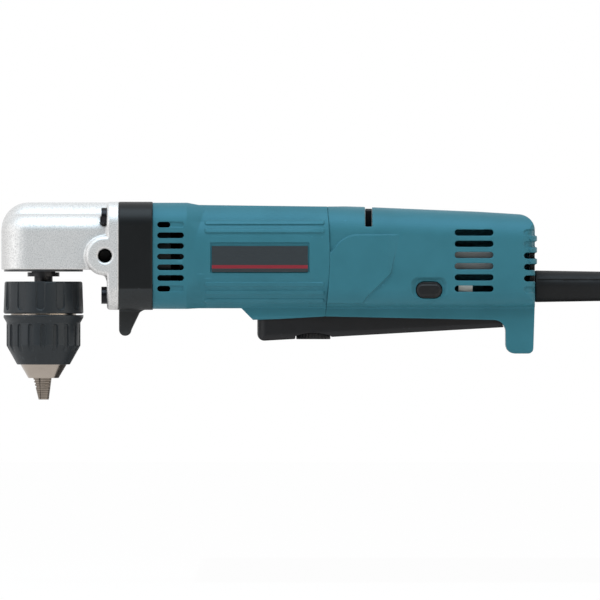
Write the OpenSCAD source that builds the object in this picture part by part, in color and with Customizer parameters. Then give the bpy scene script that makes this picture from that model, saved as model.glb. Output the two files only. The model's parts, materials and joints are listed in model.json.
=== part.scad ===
// Right angle drill: an angle head with a keyless chuck, a straight motor housing
// and a two-piece rear handle with a paddle switch.
// Lengths are millimetres. X runs from the spindle back to the cord, Z runs up the
// spindle axis and Y = 0 is the plane of symmetry. The closed jaw tips are at Z = 0.

/* [Chuck] */
// Outer radius of the rear sleeve
rear_sleeve_r = 19.75; // [18.5:0.25:22]
// Length of the rear sleeve
rear_sleeve_len = 16.1; // [15:0.1:20]
// Flutes round the rear sleeve
rear_flutes = 12; // [6:1:14]
// Width of a flute in the rear sleeve
flute_w = 4.5; // [3:0.1:6]
// Outer radius of the front sleeve
front_sleeve_r = 18.5; // [18:0.25:20]
// Length of the front sleeve
front_sleeve_len = 24.75; // [23:0.25:28]
// Grooves round the front sleeve
front_grooves = 18; // [9:1:20]
// Width of a groove in the front sleeve
groove_w = 2.2; // [1.4:0.1:3]
// Depth of the flutes and grooves
grip_depth = 0.9; // [0.5:0.1:1.2]
// Gap between the two sleeves
sleeve_gap = 0.65; // [0.4:0.05:1.2]
// Visible length of the steel nose
nose_len = 6.75; // [5:0.25:8]
// Radius of the chuck's steel core
chuck_core_r = 16.4; // [16.2:0.1:16.8]
// Length of jaw that shows below the nose
jaw_reach = 10.75; // [8:0.25:12]
// Radius of a jaw's round back
jaw_r = 3; // [2.6:0.1:3.2]
// Length of a jaw, measured along the spindle
jaw_len = 36; // [33:0.5:37]
// Tilt of a jaw from the spindle axis, degrees
jaw_tilt = 14; // [13:0.5:14.5]
// Distance of the closed jaw's back from the spindle axis at the tip
jaw_tip_r = 2.45; // [2.2:0.05:2.7]
// Smallest drill that the closed jaws hold, diameter
grip_min = 1.5; // [1:0.1:2]
// Largest drill that the open jaws hold, diameter
grip_max = 10; // [8:0.5:10]

/* [Spindle and head] */
// Length of bare spindle neck between chuck and shoulder
neck_len = 2.5; // [1.5:0.1:5]
// Radius of the spindle's threaded neck
neck_r = 4.6; // [4.3:0.1:5]
// Radius of the spindle shoulder
shoulder_r = 8; // [7:0.25:8.5]
// Height of the spindle shoulder
shoulder_len = 2.1; // [1.5:0.1:4]
// Thickness of the bearing retainer's plate
retainer_plate = 1; // [0.8:0.1:2]
// Height of the motor axis above the lower face of the head
axis_rise = 6.85; // [6.5:0.05:7.4]
// Distance from the spindle axis to the front of the head
head_front = 21; // [20.5:0.25:24]
// Half of the width of the head
head_half_w = 20.5; // [20.5:0.25:23]
// Radius of the barrel on top of the head and of its rounded front corners
barrel_r = 13.65; // [13.3:0.05:14.5]
// Radius of the shoulder beside the barrel
head_shoulder_r = 8.4; // [6:0.2:10]
// Distance from the spindle axis to the head's flange
head_len = 31.95; // [31:0.05:36]
// Thickness of the head's flange
flange_t = 5.95; // [5:0.05:8]
// Distance of the corner screws from the motor axis, along Y and along Z
screw_offset = 19.7; // [19.4:0.1:20]
// Radius of a corner screw's shank
screw_r = 2.3; // [2:0.1:2.4]
// Radius of the raised boss round a side grip socket
grip_boss_r = 9.9; // [8:0.1:11]
// Radius of the side grip socket, the core of an M8 thread
grip_socket_r = 3.3; // [3:0.05:4]
// Depth of the side grip socket
grip_socket_depth = 13.5; // [10:0.5:14]

/* [Gears] */
// Module of the spur pair
spur_module = 0.75; // [0.7:0.01:0.76]
// Teeth cut on the armature shaft
spur_pinion_teeth = 9; // [8:1:9]
// Teeth of the intermediate gear
spur_gear_teeth = 26; // [24:1:26]
// Face width of the spur gear
spur_width = 8; // [6:0.5:8.5]
// Module of the bevel pair
bevel_module = 0.95; // [0.85:0.01:0.97]
// Teeth of the bevel pinion
bevel_pinion_teeth = 9; // [8:1:10]
// Teeth of the bevel gear on the spindle
bevel_gear_teeth = 32; // [30:1:32]
// Face width of the bevel teeth
bevel_face = 5; // [4:0.25:5.5]

/* [Gear case collar] */
// Length of the collar behind the flange
collar_len = 16.85; // [16.5:0.05:20]
// Half of the outer width and height of flange and collar
collar_half = 27; // [26.9:0.05:28]
// Corner radius of flange and collar
collar_corner_r = 11.5; // [10.5:0.1:13]
// How far the finger guard hangs below the collar
guard_drop = 13; // [8:0.5:18]
// Length of the finger guard along the tool at its tip
guard_tip_len = 6; // [4:0.25:7]
// Half of the width of the finger guard
guard_half_w = 12; // [8:0.5:16]

/* [Motor] */
// Length of the motor housing
motor_len = 86.75; // [86:0.25:95]
// Half of the height of the motor housing round the front vents
vent_half = 26.5; // [26:0.1:26.8]
// Half of the height of the motor housing along the grip
grip_half = 25.7; // [25.4:0.1:26]
// Half of the width of the motor housing
motor_half_w = 26; // [25.6:0.1:26.5]
// Corner radius of the motor housing
motor_corner_r = 13; // [11:0.2:14]
// Radius of the motor housing's bore
motor_bore_r = 23.4; // [23.3:0.1:23.8]
// Radius of the field stack
field_r = 23; // [22:0.1:23.2]
// Length of the field stack and of the armature core
field_len = 35; // [25:1:36]
// Radius of the armature core
armature_r = 14.5; // [12:0.1:15]
// Winding slots of the armature core
armature_slots = 12; // [8:1:14]
// Radius of the armature shaft
shaft_r = 4; // [4:0.01:4.3]
// Radius of the fan
fan_r = 21; // [17:0.25:22]
// Blades of the fan
fan_blades = 11; // [7:1:15]
// Radius of the commutator
commutator_r = 10; // [8.5:0.25:11]
// Length of the commutator
commutator_len = 12; // [10:0.5:12.5]
// Depth of the belly below the motor axis
belly_depth = 32; // [31.5:0.1:34]
// Half of the width of the rail that houses the paddle
rail_half_w = 15; // [14.6:0.1:18]

/* [Vents and trim] */
// Vent slots of the motor housing on each side
vent_count = 7; // [3:1:7]
// Height of a vent slot
vent_h = 2.8; // [2:0.1:3.2]
// Pitch of the vent slots
vent_pitch = 5.32; // [4.6:0.02:5.4]
// Length of the nameplate
plate_len = 47.85; // [30:0.5:52]
// Height of the nameplate
plate_h = 12.9; // [8:0.1:14]
// Thickness of the nameplate
plate_t = 0.6; // [0.4:0.05:1.2]
// Height of a rib along the motor housing
trim_w = 2; // [1:0.1:3]
// Depth of the nameplate's recess
trim_depth = 0.7; // [0.4:0.05:1]

/* [Handle] */
// Length of the rear handle
handle_len = 104; // [103:0.5:115]
// Half of the width of the rear handle
handle_half_w = 25; // [24:0.25:26]
// Corner radius of the handle's upper edges
handle_corner_r = 14; // [9:0.5:17]
// Wall thickness of the handle shells
wall = 2.6; // [2:0.1:3]
// How far the foot reaches below the motor axis
foot_depth = 48.8; // [42:0.2:56]
// Length of the foot along the tool
foot_len = 13.75; // [11:0.25:16]
// Side vent slots of the handle
side_vents = 6; // [3:1:6]
// Length of a side vent slot
side_vent_len = 19.35; // [12:0.25:20]
// Height of a side vent slot
side_vent_h = 3.1; // [2:0.1:3.4]
// Pitch of the side vent slots
side_vent_pitch = 5.59; // [5:0.05:5.8]
// Radius of the cord guard where it leaves the handle
cord_guard_r = 7.43; // [6:0.05:9]
// Radius of the cord guard at its free end
cord_guard_end_r = 6.25; // [5:0.05:7]
// Length of the cord guard outside the handle
cord_guard_len = 75; // [40:1:110]
// Radius of the hole for the cord
cord_hole_r = 4.1; // [3:0.1:4.4]

/* [Controls] */
// Half of the width of the paddle
paddle_half_w = 12; // [9:0.25:12]
// Radius of the speed dial
dial_r = 8.6; // [7:0.1:9.5]
// Thickness of the speed dial
dial_t = 3.2; // [2.5:0.1:3.6]
// Ribs round the speed dial
dial_ribs = 30; // [16:1:36]
// Length of the lock button
button_len = 12.6; // [9:0.2:14]
// Height of the lock button
button_h = 7.8; // [6:0.2:8.4]
// Travel of the lock button
button_travel = 3; // [2:0.25:3.5]
// Thickness of the reversing lever
reverse_t = 2.8; // [2:0.1:3.2]

/* [Clearances] */
// Radial clearance of a shaft or pin that turns in its bearing
running_gap = 0.03; // [0.02:0.01:0.06]
// Radial clearance of a jaw that slides in its guide
sliding_gap = 0.05; // [0.03:0.01:0.08]
// Clearance of a fixed piece in its seat
seat_gap = 0.05; // [0.02:0.01:0.1]
// Clearance between pieces that move past each other
free_gap = 0.35; // [0.3:0.05:0.5]

/* [Hidden] */
$fn = 64;

// A little extra that lets a cut pass a face
cut = 1;

// Heights along the spindle, from the jaw tips upwards
nose_z = jaw_reach;
front_z = nose_z + nose_len;
front_top_z = front_z + front_sleeve_len;
rear_z = front_top_z + sleeve_gap;
chuck_top_z = rear_z + rear_sleeve_len;
shoulder_z = chuck_top_z + neck_len;
retainer_z = shoulder_z + shoulder_len + free_gap;
head_z = retainer_z + retainer_plate;
motor_z = head_z + axis_rise;
bevel_z = motor_z + spur_module * (spur_pinion_teeth + spur_gear_teeth) / 2;

// Lengths along the tool, from the spindle backwards; a longer field stack needs a longer housing
standard_field_len = 35;
flange_x = head_len;
collar_x = flange_x + flange_t;
motor_x = collar_x + collar_len;
handle_x = motor_x + motor_len + max(0, field_len - standard_field_len);
rear_x = handle_x + handle_len;

// Bearings and bushes as bore radius, outer radius and width
spindle_bearing_size = [6, 14, 8];
spindle_bush_size = [4, 6, 7];
pinion_bearing_size = [4, 11, 7];
pinion_bush_size = [2.5, 5, 4];
front_bearing_size = [shaft_r, 11, 7];
rear_bearing_size = [3.5, 11, 7];

// Jaws: the jaw axis leans outwards as it rises
jaw_axis_r = jaw_tip_r - jaw_r / cos(jaw_tilt);
jaw_travel = (grip_max - grip_min) / 2 / sin(jaw_tilt);
jaw_guide_len = jaw_len / cos(jaw_tilt) + jaw_r * tan(jaw_tilt) + jaw_travel + free_gap;
jaw_split = 0.3;
jaw_azimuths = [180, 300, 60];
drill_bore_r = grip_max / 2 + 0.2;
grip_len = nose_z - free_gap;
jaw_relief = 0.6;
jaw_thread = [0.7, 0.5, 1.6];
jaw_thread_z = [7, 32];

// Chuck: the nut turns in a groove of the core
nose_tip_r = 7.6;
nose_base_r = 11.6;
nose_lip_r = 13.2;
nut_len = 6.8;
nut_z = front_z + 6.1;
nut_r = 15.75;
groove_core_r = drill_bore_r + 2.8;
sleeve_taper_len = 9.5;
sleeve_lip_len = 3.75;
sleeve_lip_r = front_sleeve_r + 1.5;
groove_run_out = 16;
rear_cap_t = 1.6;
flute_turn = -3.5;
hub_r = 9.8;
web_t = 5;
chuck_socket_len = 14;
web_z = chuck_top_z - chuck_socket_len - web_t;
chuck_screw_r = 2.4;
chuck_screw_head_r = 4;
chuck_screw_head_t = 2.6;
chuck_screw_grip = 12;

// Bevel pair, both cones with their apex on the spindle axis
bevel_gear_r = bevel_module * bevel_gear_teeth / 2;
bevel_pinion_r = bevel_module * bevel_pinion_teeth / 2;
bevel_outer = norm([bevel_gear_r, bevel_pinion_r]);
gear_cone = atan(bevel_gear_teeth / bevel_pinion_teeth);
pinion_cone = 90 - gear_cone;
tooth_addendum = 0.72;
tooth_dedendum = 1.1;
tooth_root_half = 0.8;
tooth_tip_half = 0.3;

// Spindle: bearing, gear seat and top journal
spindle_bearing_z = head_z + 1;
gear_hub_z = spindle_bearing_z + spindle_bearing_size[2] + 0.5;
gear_seat_r = 5;
gear_hub_r = 9;
gear_web_t = 3.4;
bush_z = bevel_z + 3.2;
spindle_foot_z = web_z + web_t + free_gap;

// Pinion shaft along X, armature axis below it
pinion_head_len = 4;
pinion_bearing_x = bevel_gear_r + pinion_head_len;
pinion_shoulder_r = 5;
spur_x = collar_x + 2;
plate_x = spur_x + spur_width + 1.6;
plate_r = 24.2;
front_bearing_x = plate_x + pinion_bush_size[2] + 0.8;
pinion_journal_len = pinion_bush_size[2] - 0.3;
bearing_wall = 2.5;

// Motor, from the fan backwards
fan_len = 7.5;
fan_x = front_bearing_x + front_bearing_size[2] + 1;
baffle_x = fan_x + fan_len + 1;
baffle_t = 1.4;
coil_overhang = 4.5;
field_x = baffle_x + baffle_t + coil_overhang + 0.6;
pole_r = armature_r + 0.6;
yoke_r = field_r - 4.6;
commutator_x = field_x + field_len + 9;
brush_x = commutator_x + commutator_len / 2;
rear_bearing_x = handle_x - 6;
rear_wall_t = 5;
rear_boss_r = rear_bearing_size[1] + bearing_wall;
shaft_front_x = spur_x - 0.5;

// Sections, side view slopes and the rail for the paddle
vent_zone_len = 17.25;
vent_slope_len = 5.75;
belly_start = 44.25;
belly_x = motor_x + belly_start;
belly_slope_len = 5.75;
rail_top_z = motor_z - 22;
belly_z = motor_z - belly_depth;
seam_z = belly_z + 1.75;

// Helpers

function polar(r, angle) = [r * cos(angle), r * sin(angle)];

// Points of an arc about a centre, from one angle to another
function arc(centre, r, from, to, steps = 10) =
  [for (i = [0:steps]) centre + polar(r, from + (to - from) * i / steps)];

// A cylinder along X at a height above the jaw tips
module x_cylinder(r, x0, x1, z) {
  translate([x0, 0, z])
    rotate([0, 90, 0])
      cylinder(r = r, h = x1 - x0);
}

// A cylinder along Y
module y_cylinder(r, y0, y1, x, z) {
  translate([x, y0, z])
    rotate([-90, 0, 0])
      cylinder(r = r, h = y1 - y0);
}

// A side view outline, in X and Z, made as wide as the given half width on both sides
module from_side(half_w) {
  rotate([90, 0, 0])
    linear_extrude(2 * half_w, center = true)
      children();
}

// A cross section, in Y and Z, drawn out along X
module along_x(x0, x1) {
  translate([x0, 0, 0])
    rotate([90, 0, 90])
      linear_extrude(x1 - x0)
        children();
}

// A box from its two corners
module box(low, high) {
  translate(low)
    cube(high - low);
}

// A rectangle with round corners, centred at a height
module round_section(half_w, half_h, corner_r, z) {
  translate([0, z])
    offset(r = corner_r)
      square(2 * [half_w - corner_r, half_h - corner_r], center = true);
}

// A slot with round ends in the side view
module slot_outline(x0, x1, z, h) {
  for (x = [x0 + h / 2, x1 - h / 2])
    translate([x, z])
      circle(h / 2);
  translate([x0 + h / 2, z - h / 2])
    square([x1 - x0 - h, h]);
}

// A ring with shield recesses on both faces, as a sealed ball bearing
module ball_bearing(size) {
  shield = [size[0] + 0.3 * (size[1] - size[0]), size[0] + 0.75 * (size[1] - size[0])];
  recess = 0.5;
  rotate_extrude()
    difference() {
      translate([size[0], 0])
        square([size[1] - size[0], size[2]]);
      for (z = [0, size[2] - recess])
        translate([shield[0], z])
          square([shield[1] - shield[0], recess]);
    }
}

module bearing_on_x(size, x, z) {
  translate([x, 0, z])
    rotate([0, 90, 0])
      ball_bearing(size);
}

// Gears

// A spur gear outline with generous backlash; a tooth points along the first axis
module spur_outline(teeth, gear_module) {
  pitch_r = teeth * gear_module / 2;
  flank = [[-1.05, 0.28], [0, 0.18], [0.8, 0.09]];
  rise = [for (p = flank) [pitch_r + p[0] * gear_module, -p[1]]];
  fall = [for (i = [2:-1:0]) [rise[i][0], -rise[i][1]]];
  polygon([
    for (tooth = [0:teeth - 1])
      for (p = concat(rise, fall))
        polar(p[0], (tooth + p[1]) * 360 / teeth)
  ]);
}

// A point of a bevel tooth: along the pitch line, square to it and across it
function cone_point(cone, along, out, across) =
  [along * sin(cone) + out * cos(cone), across, along * cos(cone) - out * sin(cone)];

// The root of a bevel gear at a distance from the apex, as radius and height
function root_point(cone, along) =
  let (p = cone_point(cone, along, -tooth_dedendum * bevel_module * along / bevel_outer, 0))
  [p[0], p[2]];

// Straight bevel teeth round an axis that leaves the apex upwards
module bevel_teeth(teeth, cone) {
  section = [
    [-tooth_root_half, -tooth_dedendum - 0.3], [tooth_root_half, -tooth_dedendum - 0.3],
    [tooth_tip_half, tooth_addendum], [-tooth_tip_half, tooth_addendum]
  ];
  ends = [bevel_outer, bevel_outer - bevel_face];
  points = [
    for (along = ends)
      for (p = section * bevel_module)
        cone_point(cone, along, p[1] * along / bevel_outer, p[0] * along / bevel_outer)
  ];
  faces = [[0, 1, 2, 3], [7, 6, 5, 4], [4, 5, 1, 0], [5, 6, 2, 1], [6, 7, 3, 2], [7, 4, 0, 3]];
  for (tooth = [0:teeth - 1])
    rotate(tooth * 360 / teeth)
      polyhedron(points, faces);
}

module bevel_gear() {
  inner = root_point(gear_cone, bevel_outer - bevel_face);
  outer = root_point(gear_cone, bevel_outer);
  hub = bevel_z - gear_hub_z;
  bore_r = gear_seat_r + seat_gap;
  back = min(outer[1] + gear_web_t, hub);
  color("dimgray")
    translate([0, 0, bevel_z])
      rotate([180, 0, 180 / bevel_gear_teeth])
        union() {
          rotate_extrude()
            polygon([
              [bore_r, inner[1] + 0.3], [inner[0] - 0.5, inner[1] + 0.3], inner, outer,
              [outer[0], back], [gear_hub_r, back], [gear_hub_r, hub], [bore_r, hub]
            ]);
          bevel_teeth(bevel_gear_teeth, gear_cone);
        }
}

module bevel_pinion() {
  inner = root_point(pinion_cone, bevel_outer - bevel_face);
  outer = root_point(pinion_cone, bevel_outer);
  journal_r = pinion_bearing_size[0] - running_gap;
  tail_r = pinion_bush_size[0] - running_gap;
  shoulder = outer[1] + 0.3;
  tail = plate_x - 0.6;
  color("gray")
    translate([0, 0, bevel_z])
      rotate([0, 90, 0])
        union() {
          rotate_extrude()
            polygon([
              [0, inner[1]], inner, outer, [outer[0], shoulder],
              [pinion_shoulder_r, shoulder], [pinion_shoulder_r, pinion_bearing_x],
              [journal_r, pinion_bearing_x], [journal_r, tail], [tail_r, tail],
              [tail_r, plate_x + pinion_journal_len], [0, plate_x + pinion_journal_len]
            ]);
          bevel_teeth(bevel_pinion_teeth, pinion_cone);
        }
}

module spur_gear() {
  rim_r = spur_module * (spur_gear_teeth / 2 - 2.6);
  recess = 1.5;
  color("gray")
    translate([spur_x, 0, bevel_z])
      rotate([0, 90, 0])
        difference() {
          linear_extrude(spur_width)
            rotate(180 / spur_gear_teeth)
              spur_outline(spur_gear_teeth, spur_module);
          translate([0, 0, -cut])
            cylinder(r = pinion_bearing_size[0] + seat_gap - running_gap, h = spur_width + 2 * cut);
          for (z = [-cut, spur_width - recess])
            translate([0, 0, z])
              difference() {
                cylinder(r = rim_r, h = recess + cut);
                cylinder(r = rim_r - 1.6, h = recess + cut);
              }
        }
}

module pinion_bearing() {
  color("silver")
    bearing_on_x(pinion_bearing_size, pinion_bearing_x, bevel_z);
}

// A plain bearing bush
module bush(size) {
  difference() {
    cylinder(r = size[1], h = size[2]);
    translate([0, 0, -cut])
      cylinder(r = size[0], h = size[2] + 2 * cut);
  }
}

module pinion_bush() {
  color("goldenrod")
    translate([plate_x, 0, bevel_z])
      rotate([0, 90, 0])
        bush(pinion_bush_size);
}

// Spindle

module spindle() {
  seat_r = spindle_bearing_size[0] - running_gap;
  top_r = spindle_bush_size[0] - running_gap;
  gear_top = bevel_z - root_point(gear_cone, bevel_outer - bevel_face)[1] - 0.3;
  top = bush_z + spindle_bush_size[2] - 0.3;
  color("dimgray")
    difference() {
      rotate_extrude()
        polygon([
          [0, spindle_foot_z], [neck_r, spindle_foot_z], [neck_r, shoulder_z],
          [shoulder_r, shoulder_z], [shoulder_r, shoulder_z + shoulder_len],
          [seat_r, shoulder_z + shoulder_len], [seat_r, gear_hub_z],
          [gear_seat_r, gear_hub_z], [gear_seat_r, gear_top], [top_r, gear_top],
          [top_r, top], [0, top]
        ]);
      translate([0, 0, spindle_foot_z - cut])
        cylinder(r = chuck_screw_r + seat_gap, h = chuck_screw_grip + 2 * cut);
    }
}

module spindle_bearing() {
  color("silver")
    translate([0, 0, spindle_bearing_z])
      ball_bearing(spindle_bearing_size);
}

module spindle_bush() {
  color("goldenrod")
    translate([0, 0, bush_z])
      bush(spindle_bush_size);
}

// The retainer's cup holds the spindle bearing and closes the head from below
retainer_r = 19.75;
retainer_cup_r = 17.2;
retainer_hole_r = 9;

module bearing_retainer() {
  cup_top = spindle_bearing_z + spindle_bearing_size[2] - 0.5;
  pocket_r = spindle_bearing_size[1] + seat_gap;
  color("#26282a")
    rotate_extrude()
      polygon([
        [retainer_hole_r, retainer_z], [retainer_r, retainer_z], [retainer_r, head_z],
        [retainer_cup_r, head_z], [retainer_cup_r, cup_top], [pocket_r, cup_top],
        [pocket_r, spindle_bearing_z], [retainer_hole_r, spindle_bearing_z]
      ]);
}

// Chuck

module chuck_core_outline() {
  groove_low = nut_z - free_gap;
  groove_high = nut_z + nut_len + free_gap;
  cap_z = chuck_top_z - rear_cap_t;
  polygon([
    [0, nose_z], [nose_tip_r, nose_z], [nose_base_r, front_z], [nose_base_r, groove_low],
    [groove_core_r, groove_low], [groove_core_r, groove_high], [chuck_core_r, groove_high],
    [chuck_core_r, cap_z], [hub_r, cap_z], [hub_r, chuck_top_z], [0, chuck_top_z]
  ]);
}

// The frame of one jaw: its own axis is Z
module jaw_frame(index) {
  rotate(jaw_azimuths[index])
    translate([jaw_axis_r, 0, 0])
      rotate([0, jaw_tilt, 0])
        children();
}

module chuck_body() {
  color("#a59d94")
    difference() {
      rotate_extrude()
        chuck_core_outline();
      translate([0, 0, nose_z - cut])
        cylinder(r = drill_bore_r, h = web_z - nose_z + cut);
      translate([0, 0, web_z - cut])
        cylinder(r = chuck_screw_r + 2 * seat_gap, h = web_t + 2 * cut);
      translate([0, 0, web_z + web_t])
        cylinder(r = neck_r + seat_gap, h = chuck_top_z - web_z);
      for (i = [0:2])
        jaw_frame(i)
          cylinder(r = jaw_r + sliding_gap, h = jaw_guide_len);
    }
}

// A jaw: a leaning round bar, cut to its third of the circle and hollowed for a drill,
// with rows of thread on its back as width, depth and pitch
module jaw(index) {
  reach = 2 * chuck_core_r;
  tip = jaw_split / 2 / sin(60);
  color("#8d8780")
    difference() {
      intersection() {
        jaw_frame(index)
          translate([0, 0, -reach])
            cylinder(r = jaw_r, h = 3 * reach);
        rotate(jaw_azimuths[index])
          linear_extrude(jaw_len)
            polygon([[tip, 0], [tip, 0] + polar(reach, 60), [tip, 0] + polar(reach, -60)]);
      }
      translate([0, 0, -cut])
        cylinder(r = grip_min / 2, h = grip_len + 2 * cut);
      translate([0, 0, grip_len])
        cylinder(r = grip_min / 2 + jaw_relief, h = jaw_len);
      jaw_frame(index)
        for (z = [jaw_thread_z[0]:jaw_thread[2]:jaw_thread_z[1]])
          box([jaw_r - jaw_thread[1], -jaw_r, z], [jaw_r + cut, jaw_r, z + jaw_thread[0]]);
    }
}

module jaw_1() {
  jaw(0);
}

module jaw_2() {
  jaw(1);
}

module jaw_3() {
  jaw(2);
}

// Distance of a jaw's back from the spindle axis at a height
function jaw_back_r(z) = jaw_axis_r + z * tan(jaw_tilt) + jaw_r / cos(jaw_tilt);

// The nut is split in two so that it goes into the groove of the core
module chuck_nut() {
  split = 0.4;
  color("#7a7672")
    difference() {
      rotate_extrude()
        polygon([
          [jaw_back_r(nut_z) + free_gap, nut_z], [nut_r, nut_z], [nut_r, nut_z + nut_len],
          [jaw_back_r(nut_z + nut_len) + free_gap, nut_z + nut_len]
        ]);
      box([-2 * nut_r, -split / 2, 0], [2 * nut_r, split / 2, chuck_top_z]);
    }
}

// A radial slot with round ends, its floor at a given radius
module grip_slot(floor_r, low_z, high_z, w) {
  translate([floor_r, 0, 0])
    rotate([90, 0, 90])
      linear_extrude(2 * cut + 4 * grip_depth)
        union() {
          for (z = [low_z + w / 2, high_z - w / 2])
            translate([0, z])
              circle(w / 2);
          translate([-w / 2, low_z + w / 2])
            square([w, high_z - low_z - w]);
        }
}

module chuck_front_sleeve() {
  bore_r = chuck_core_r + free_gap;
  mouth_r = nose_base_r + free_gap;
  nut_top = nut_z + nut_len;
  lip_z = front_top_z - sleeve_lip_len;
  color("#35393c")
    difference() {
      rotate_extrude()
        polygon([
          [mouth_r, front_z], [nose_lip_r, front_z],
          [front_sleeve_r, front_z + sleeve_taper_len], [front_sleeve_r, lip_z],
          [sleeve_lip_r, front_top_z - 1.2], [sleeve_lip_r, front_top_z],
          [bore_r, front_top_z], [bore_r, nut_top], [nut_r + seat_gap, nut_top],
          [nut_r + seat_gap, nut_z], [mouth_r, nut_z]
        ]);
      for (i = [0:front_grooves - 1])
        rotate((i + 0.5) * 360 / front_grooves)
          union() {
            grip_slot(front_sleeve_r - grip_depth, front_z + 0.65 * sleeve_taper_len, lip_z - 0.8, groove_w);
            translate([front_sleeve_r - grip_depth, 0, front_z + sleeve_taper_len])
              rotate([0, groove_run_out, 0])
                box([0, -groove_w / 2, -sleeve_taper_len / 2], [4 * grip_depth, groove_w / 2, 0]);
          }
    }
}

module chuck_rear_sleeve() {
  lean = 0.25;
  bore_r = chuck_core_r + seat_gap;
  edge = 0.6;
  color("#35393c")
    difference() {
      rotate_extrude()
        polygon([
          [bore_r, rear_z], [rear_sleeve_r + lean - edge, rear_z], [rear_sleeve_r + lean, rear_z + edge],
          [rear_sleeve_r - lean, chuck_top_z - edge], [rear_sleeve_r - lean - edge, chuck_top_z],
          [hub_r + seat_gap, chuck_top_z], [hub_r + seat_gap, chuck_top_z - rear_cap_t],
          [bore_r, chuck_top_z - rear_cap_t]
        ]);
      for (i = [0:rear_flutes - 1])
        rotate(i * 360 / rear_flutes + flute_turn)
          grip_slot(rear_sleeve_r - grip_depth, rear_z + 1.8, chuck_top_z + flute_w, flute_w);
    }
}

module chuck_screw() {
  head_z0 = web_z - chuck_screw_head_t;
  color("#3a3a3a")
    difference() {
      union() {
        translate([0, 0, head_z0])
          cylinder(r = chuck_screw_head_r, h = chuck_screw_head_t);
        translate([0, 0, web_z - cut])
          cylinder(r = chuck_screw_r, h = spindle_foot_z + chuck_screw_grip - web_z + cut);
      }
      box([-2 * chuck_screw_head_r, -0.5, head_z0 - cut], [2 * chuck_screw_head_r, 0.5, head_z0 + cut]);
    }
}

// Angle head

// The four corner screw places in Y and Z
screw_places = [for (y = [-1, 1], z = [-1, 1]) [y * screw_offset, motor_z + z * screw_offset]];
screw_head_r = 4.3;
screw_head_t = 2.75;
screw_into_motor = 13;

// A set of bores along X through the four corner screw places
module corner_bores(r, x0, x1) {
  for (p = screw_places)
    translate([0, p[0], 0])
      x_cylinder(r, x0, x1, p[1]);
}

module flange_outline() {
  round_section(collar_half, collar_half, collar_corner_r, motor_z);
}

casing_top_z = bevel_z + 7.7;
chamber_r = retainer_cup_r + seat_gap;
chamber_top_z = bevel_z - 1.2;
grip_socket_x = flange_x - 0.95;
fillet_r = 7.5;
boss_bevel = 1.4;
flange_bevel = 0.9;

// Upper edge of the casing, from the middle of a front corner outwards
module casing_edge() {
  roll_z = casing_top_z - head_shoulder_r;
  intersection() {
    translate([0, head_z])
      square([barrel_r, casing_top_z - head_z]);
    union() {
      translate([barrel_r - head_shoulder_r, roll_z])
        circle(head_shoulder_r);
      translate([0, head_z])
        square([barrel_r, roll_z - head_z]);
      translate([0, head_z])
        square([barrel_r - head_shoulder_r, casing_top_z - head_z]);
    }
  }
}

// The wide lower casing: the rolled upper edge follows the round front corners
module head_casing() {
  corner_x = barrel_r - head_front;
  corner_y = head_half_w - barrel_r;
  for (side = [-1, 1])
    translate([corner_x, side * corner_y, 0])
      rotate_extrude()
        casing_edge();
  from_side(corner_y)
    translate([corner_x, 0])
      mirror([1, 0])
        casing_edge();
  along_x(corner_x, flange_x + cut)
    union() {
      for (side = [-1, 1])
        translate([side * (head_half_w - head_shoulder_r), casing_top_z - head_shoulder_r])
          circle(head_shoulder_r);
      translate([head_shoulder_r - head_half_w, head_z])
        square([2 * (head_half_w - head_shoulder_r), casing_top_z - head_z]);
      translate([-head_half_w, head_z])
        square([2 * head_half_w, casing_top_z - head_z - head_shoulder_r]);
    }
}

// A side grip boss from side to side, with bevelled rims
module grip_bosses() {
  flat = collar_half - boss_bevel;
  y_cylinder(grip_boss_r, -flat, flat, grip_socket_x, motor_z);
  for (side = [-1, 1])
    translate([grip_socket_x, side * flat, motor_z])
      rotate([-side * 90, 0, 0])
        cylinder(r1 = grip_boss_r, r2 = grip_boss_r - boss_bevel, h = boss_bevel);
}

module gear_housing() {
  front_share = 1 - flange_bevel / collar_half;
  color("#c8c8ca")
    difference() {
      union() {
        head_casing();
        x_cylinder(barrel_r, barrel_r - head_front, flange_x + cut, bevel_z);
        translate([barrel_r - head_front, 0, bevel_z])
          sphere(barrel_r);
        along_x(flange_x + flange_bevel - slope_sink, collar_x)
          flange_outline();
        translate([flange_x, 0, motor_z])
          rotate([90, 0, 90])
            linear_extrude(flange_bevel, scale = 1 / front_share)
              scale(front_share)
                round_section(collar_half, collar_half, collar_corner_r, 0);
        intersection() {
          grip_bosses();
          box([0, -collar_half, 0], [collar_x, collar_half, 2 * motor_z]);
        }
        from_side(head_half_w - 3)
          difference() {
            translate([flange_x - fillet_r, head_z - fillet_r])
              square([fillet_r + cut, fillet_r + cut]);
            translate([flange_x - fillet_r, head_z - fillet_r])
              circle(fillet_r);
          }
      }
      translate([0, 0, head_z - cut])
        cylinder(r = chamber_r, h = chamber_top_z - head_z + cut);
      translate([0, 0, chamber_top_z - cut])
        cylinder(r = spindle_bush_size[1] + seat_gap, h = bush_z + spindle_bush_size[2] - chamber_top_z + cut);
      x_cylinder(bevel_pinion_r + 2.1, 0, pinion_bearing_x + cut, bevel_z);
      x_cylinder(pinion_bearing_size[1] + seat_gap, pinion_bearing_x - seat_gap, collar_x + cut, bevel_z);
      corner_bores(screw_r + free_gap, flange_x - cut, collar_x + cut);
      corner_bores(screw_head_r + free_gap, flange_x - screw_head_t - free_gap, flange_x);
      for (side = [-1, 1])
        translate([grip_socket_x, side * collar_half, motor_z])
          rotate([side * 90, 0, 0]) {
            translate([0, 0, -cut])
              cylinder(r = grip_socket_r, h = grip_socket_depth + cut);
            translate([0, 0, -cut])
              cylinder(r1 = grip_socket_r + 0.9 + cut, r2 = grip_socket_r, h = 0.9 + cut);
          }
    }
}

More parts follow.
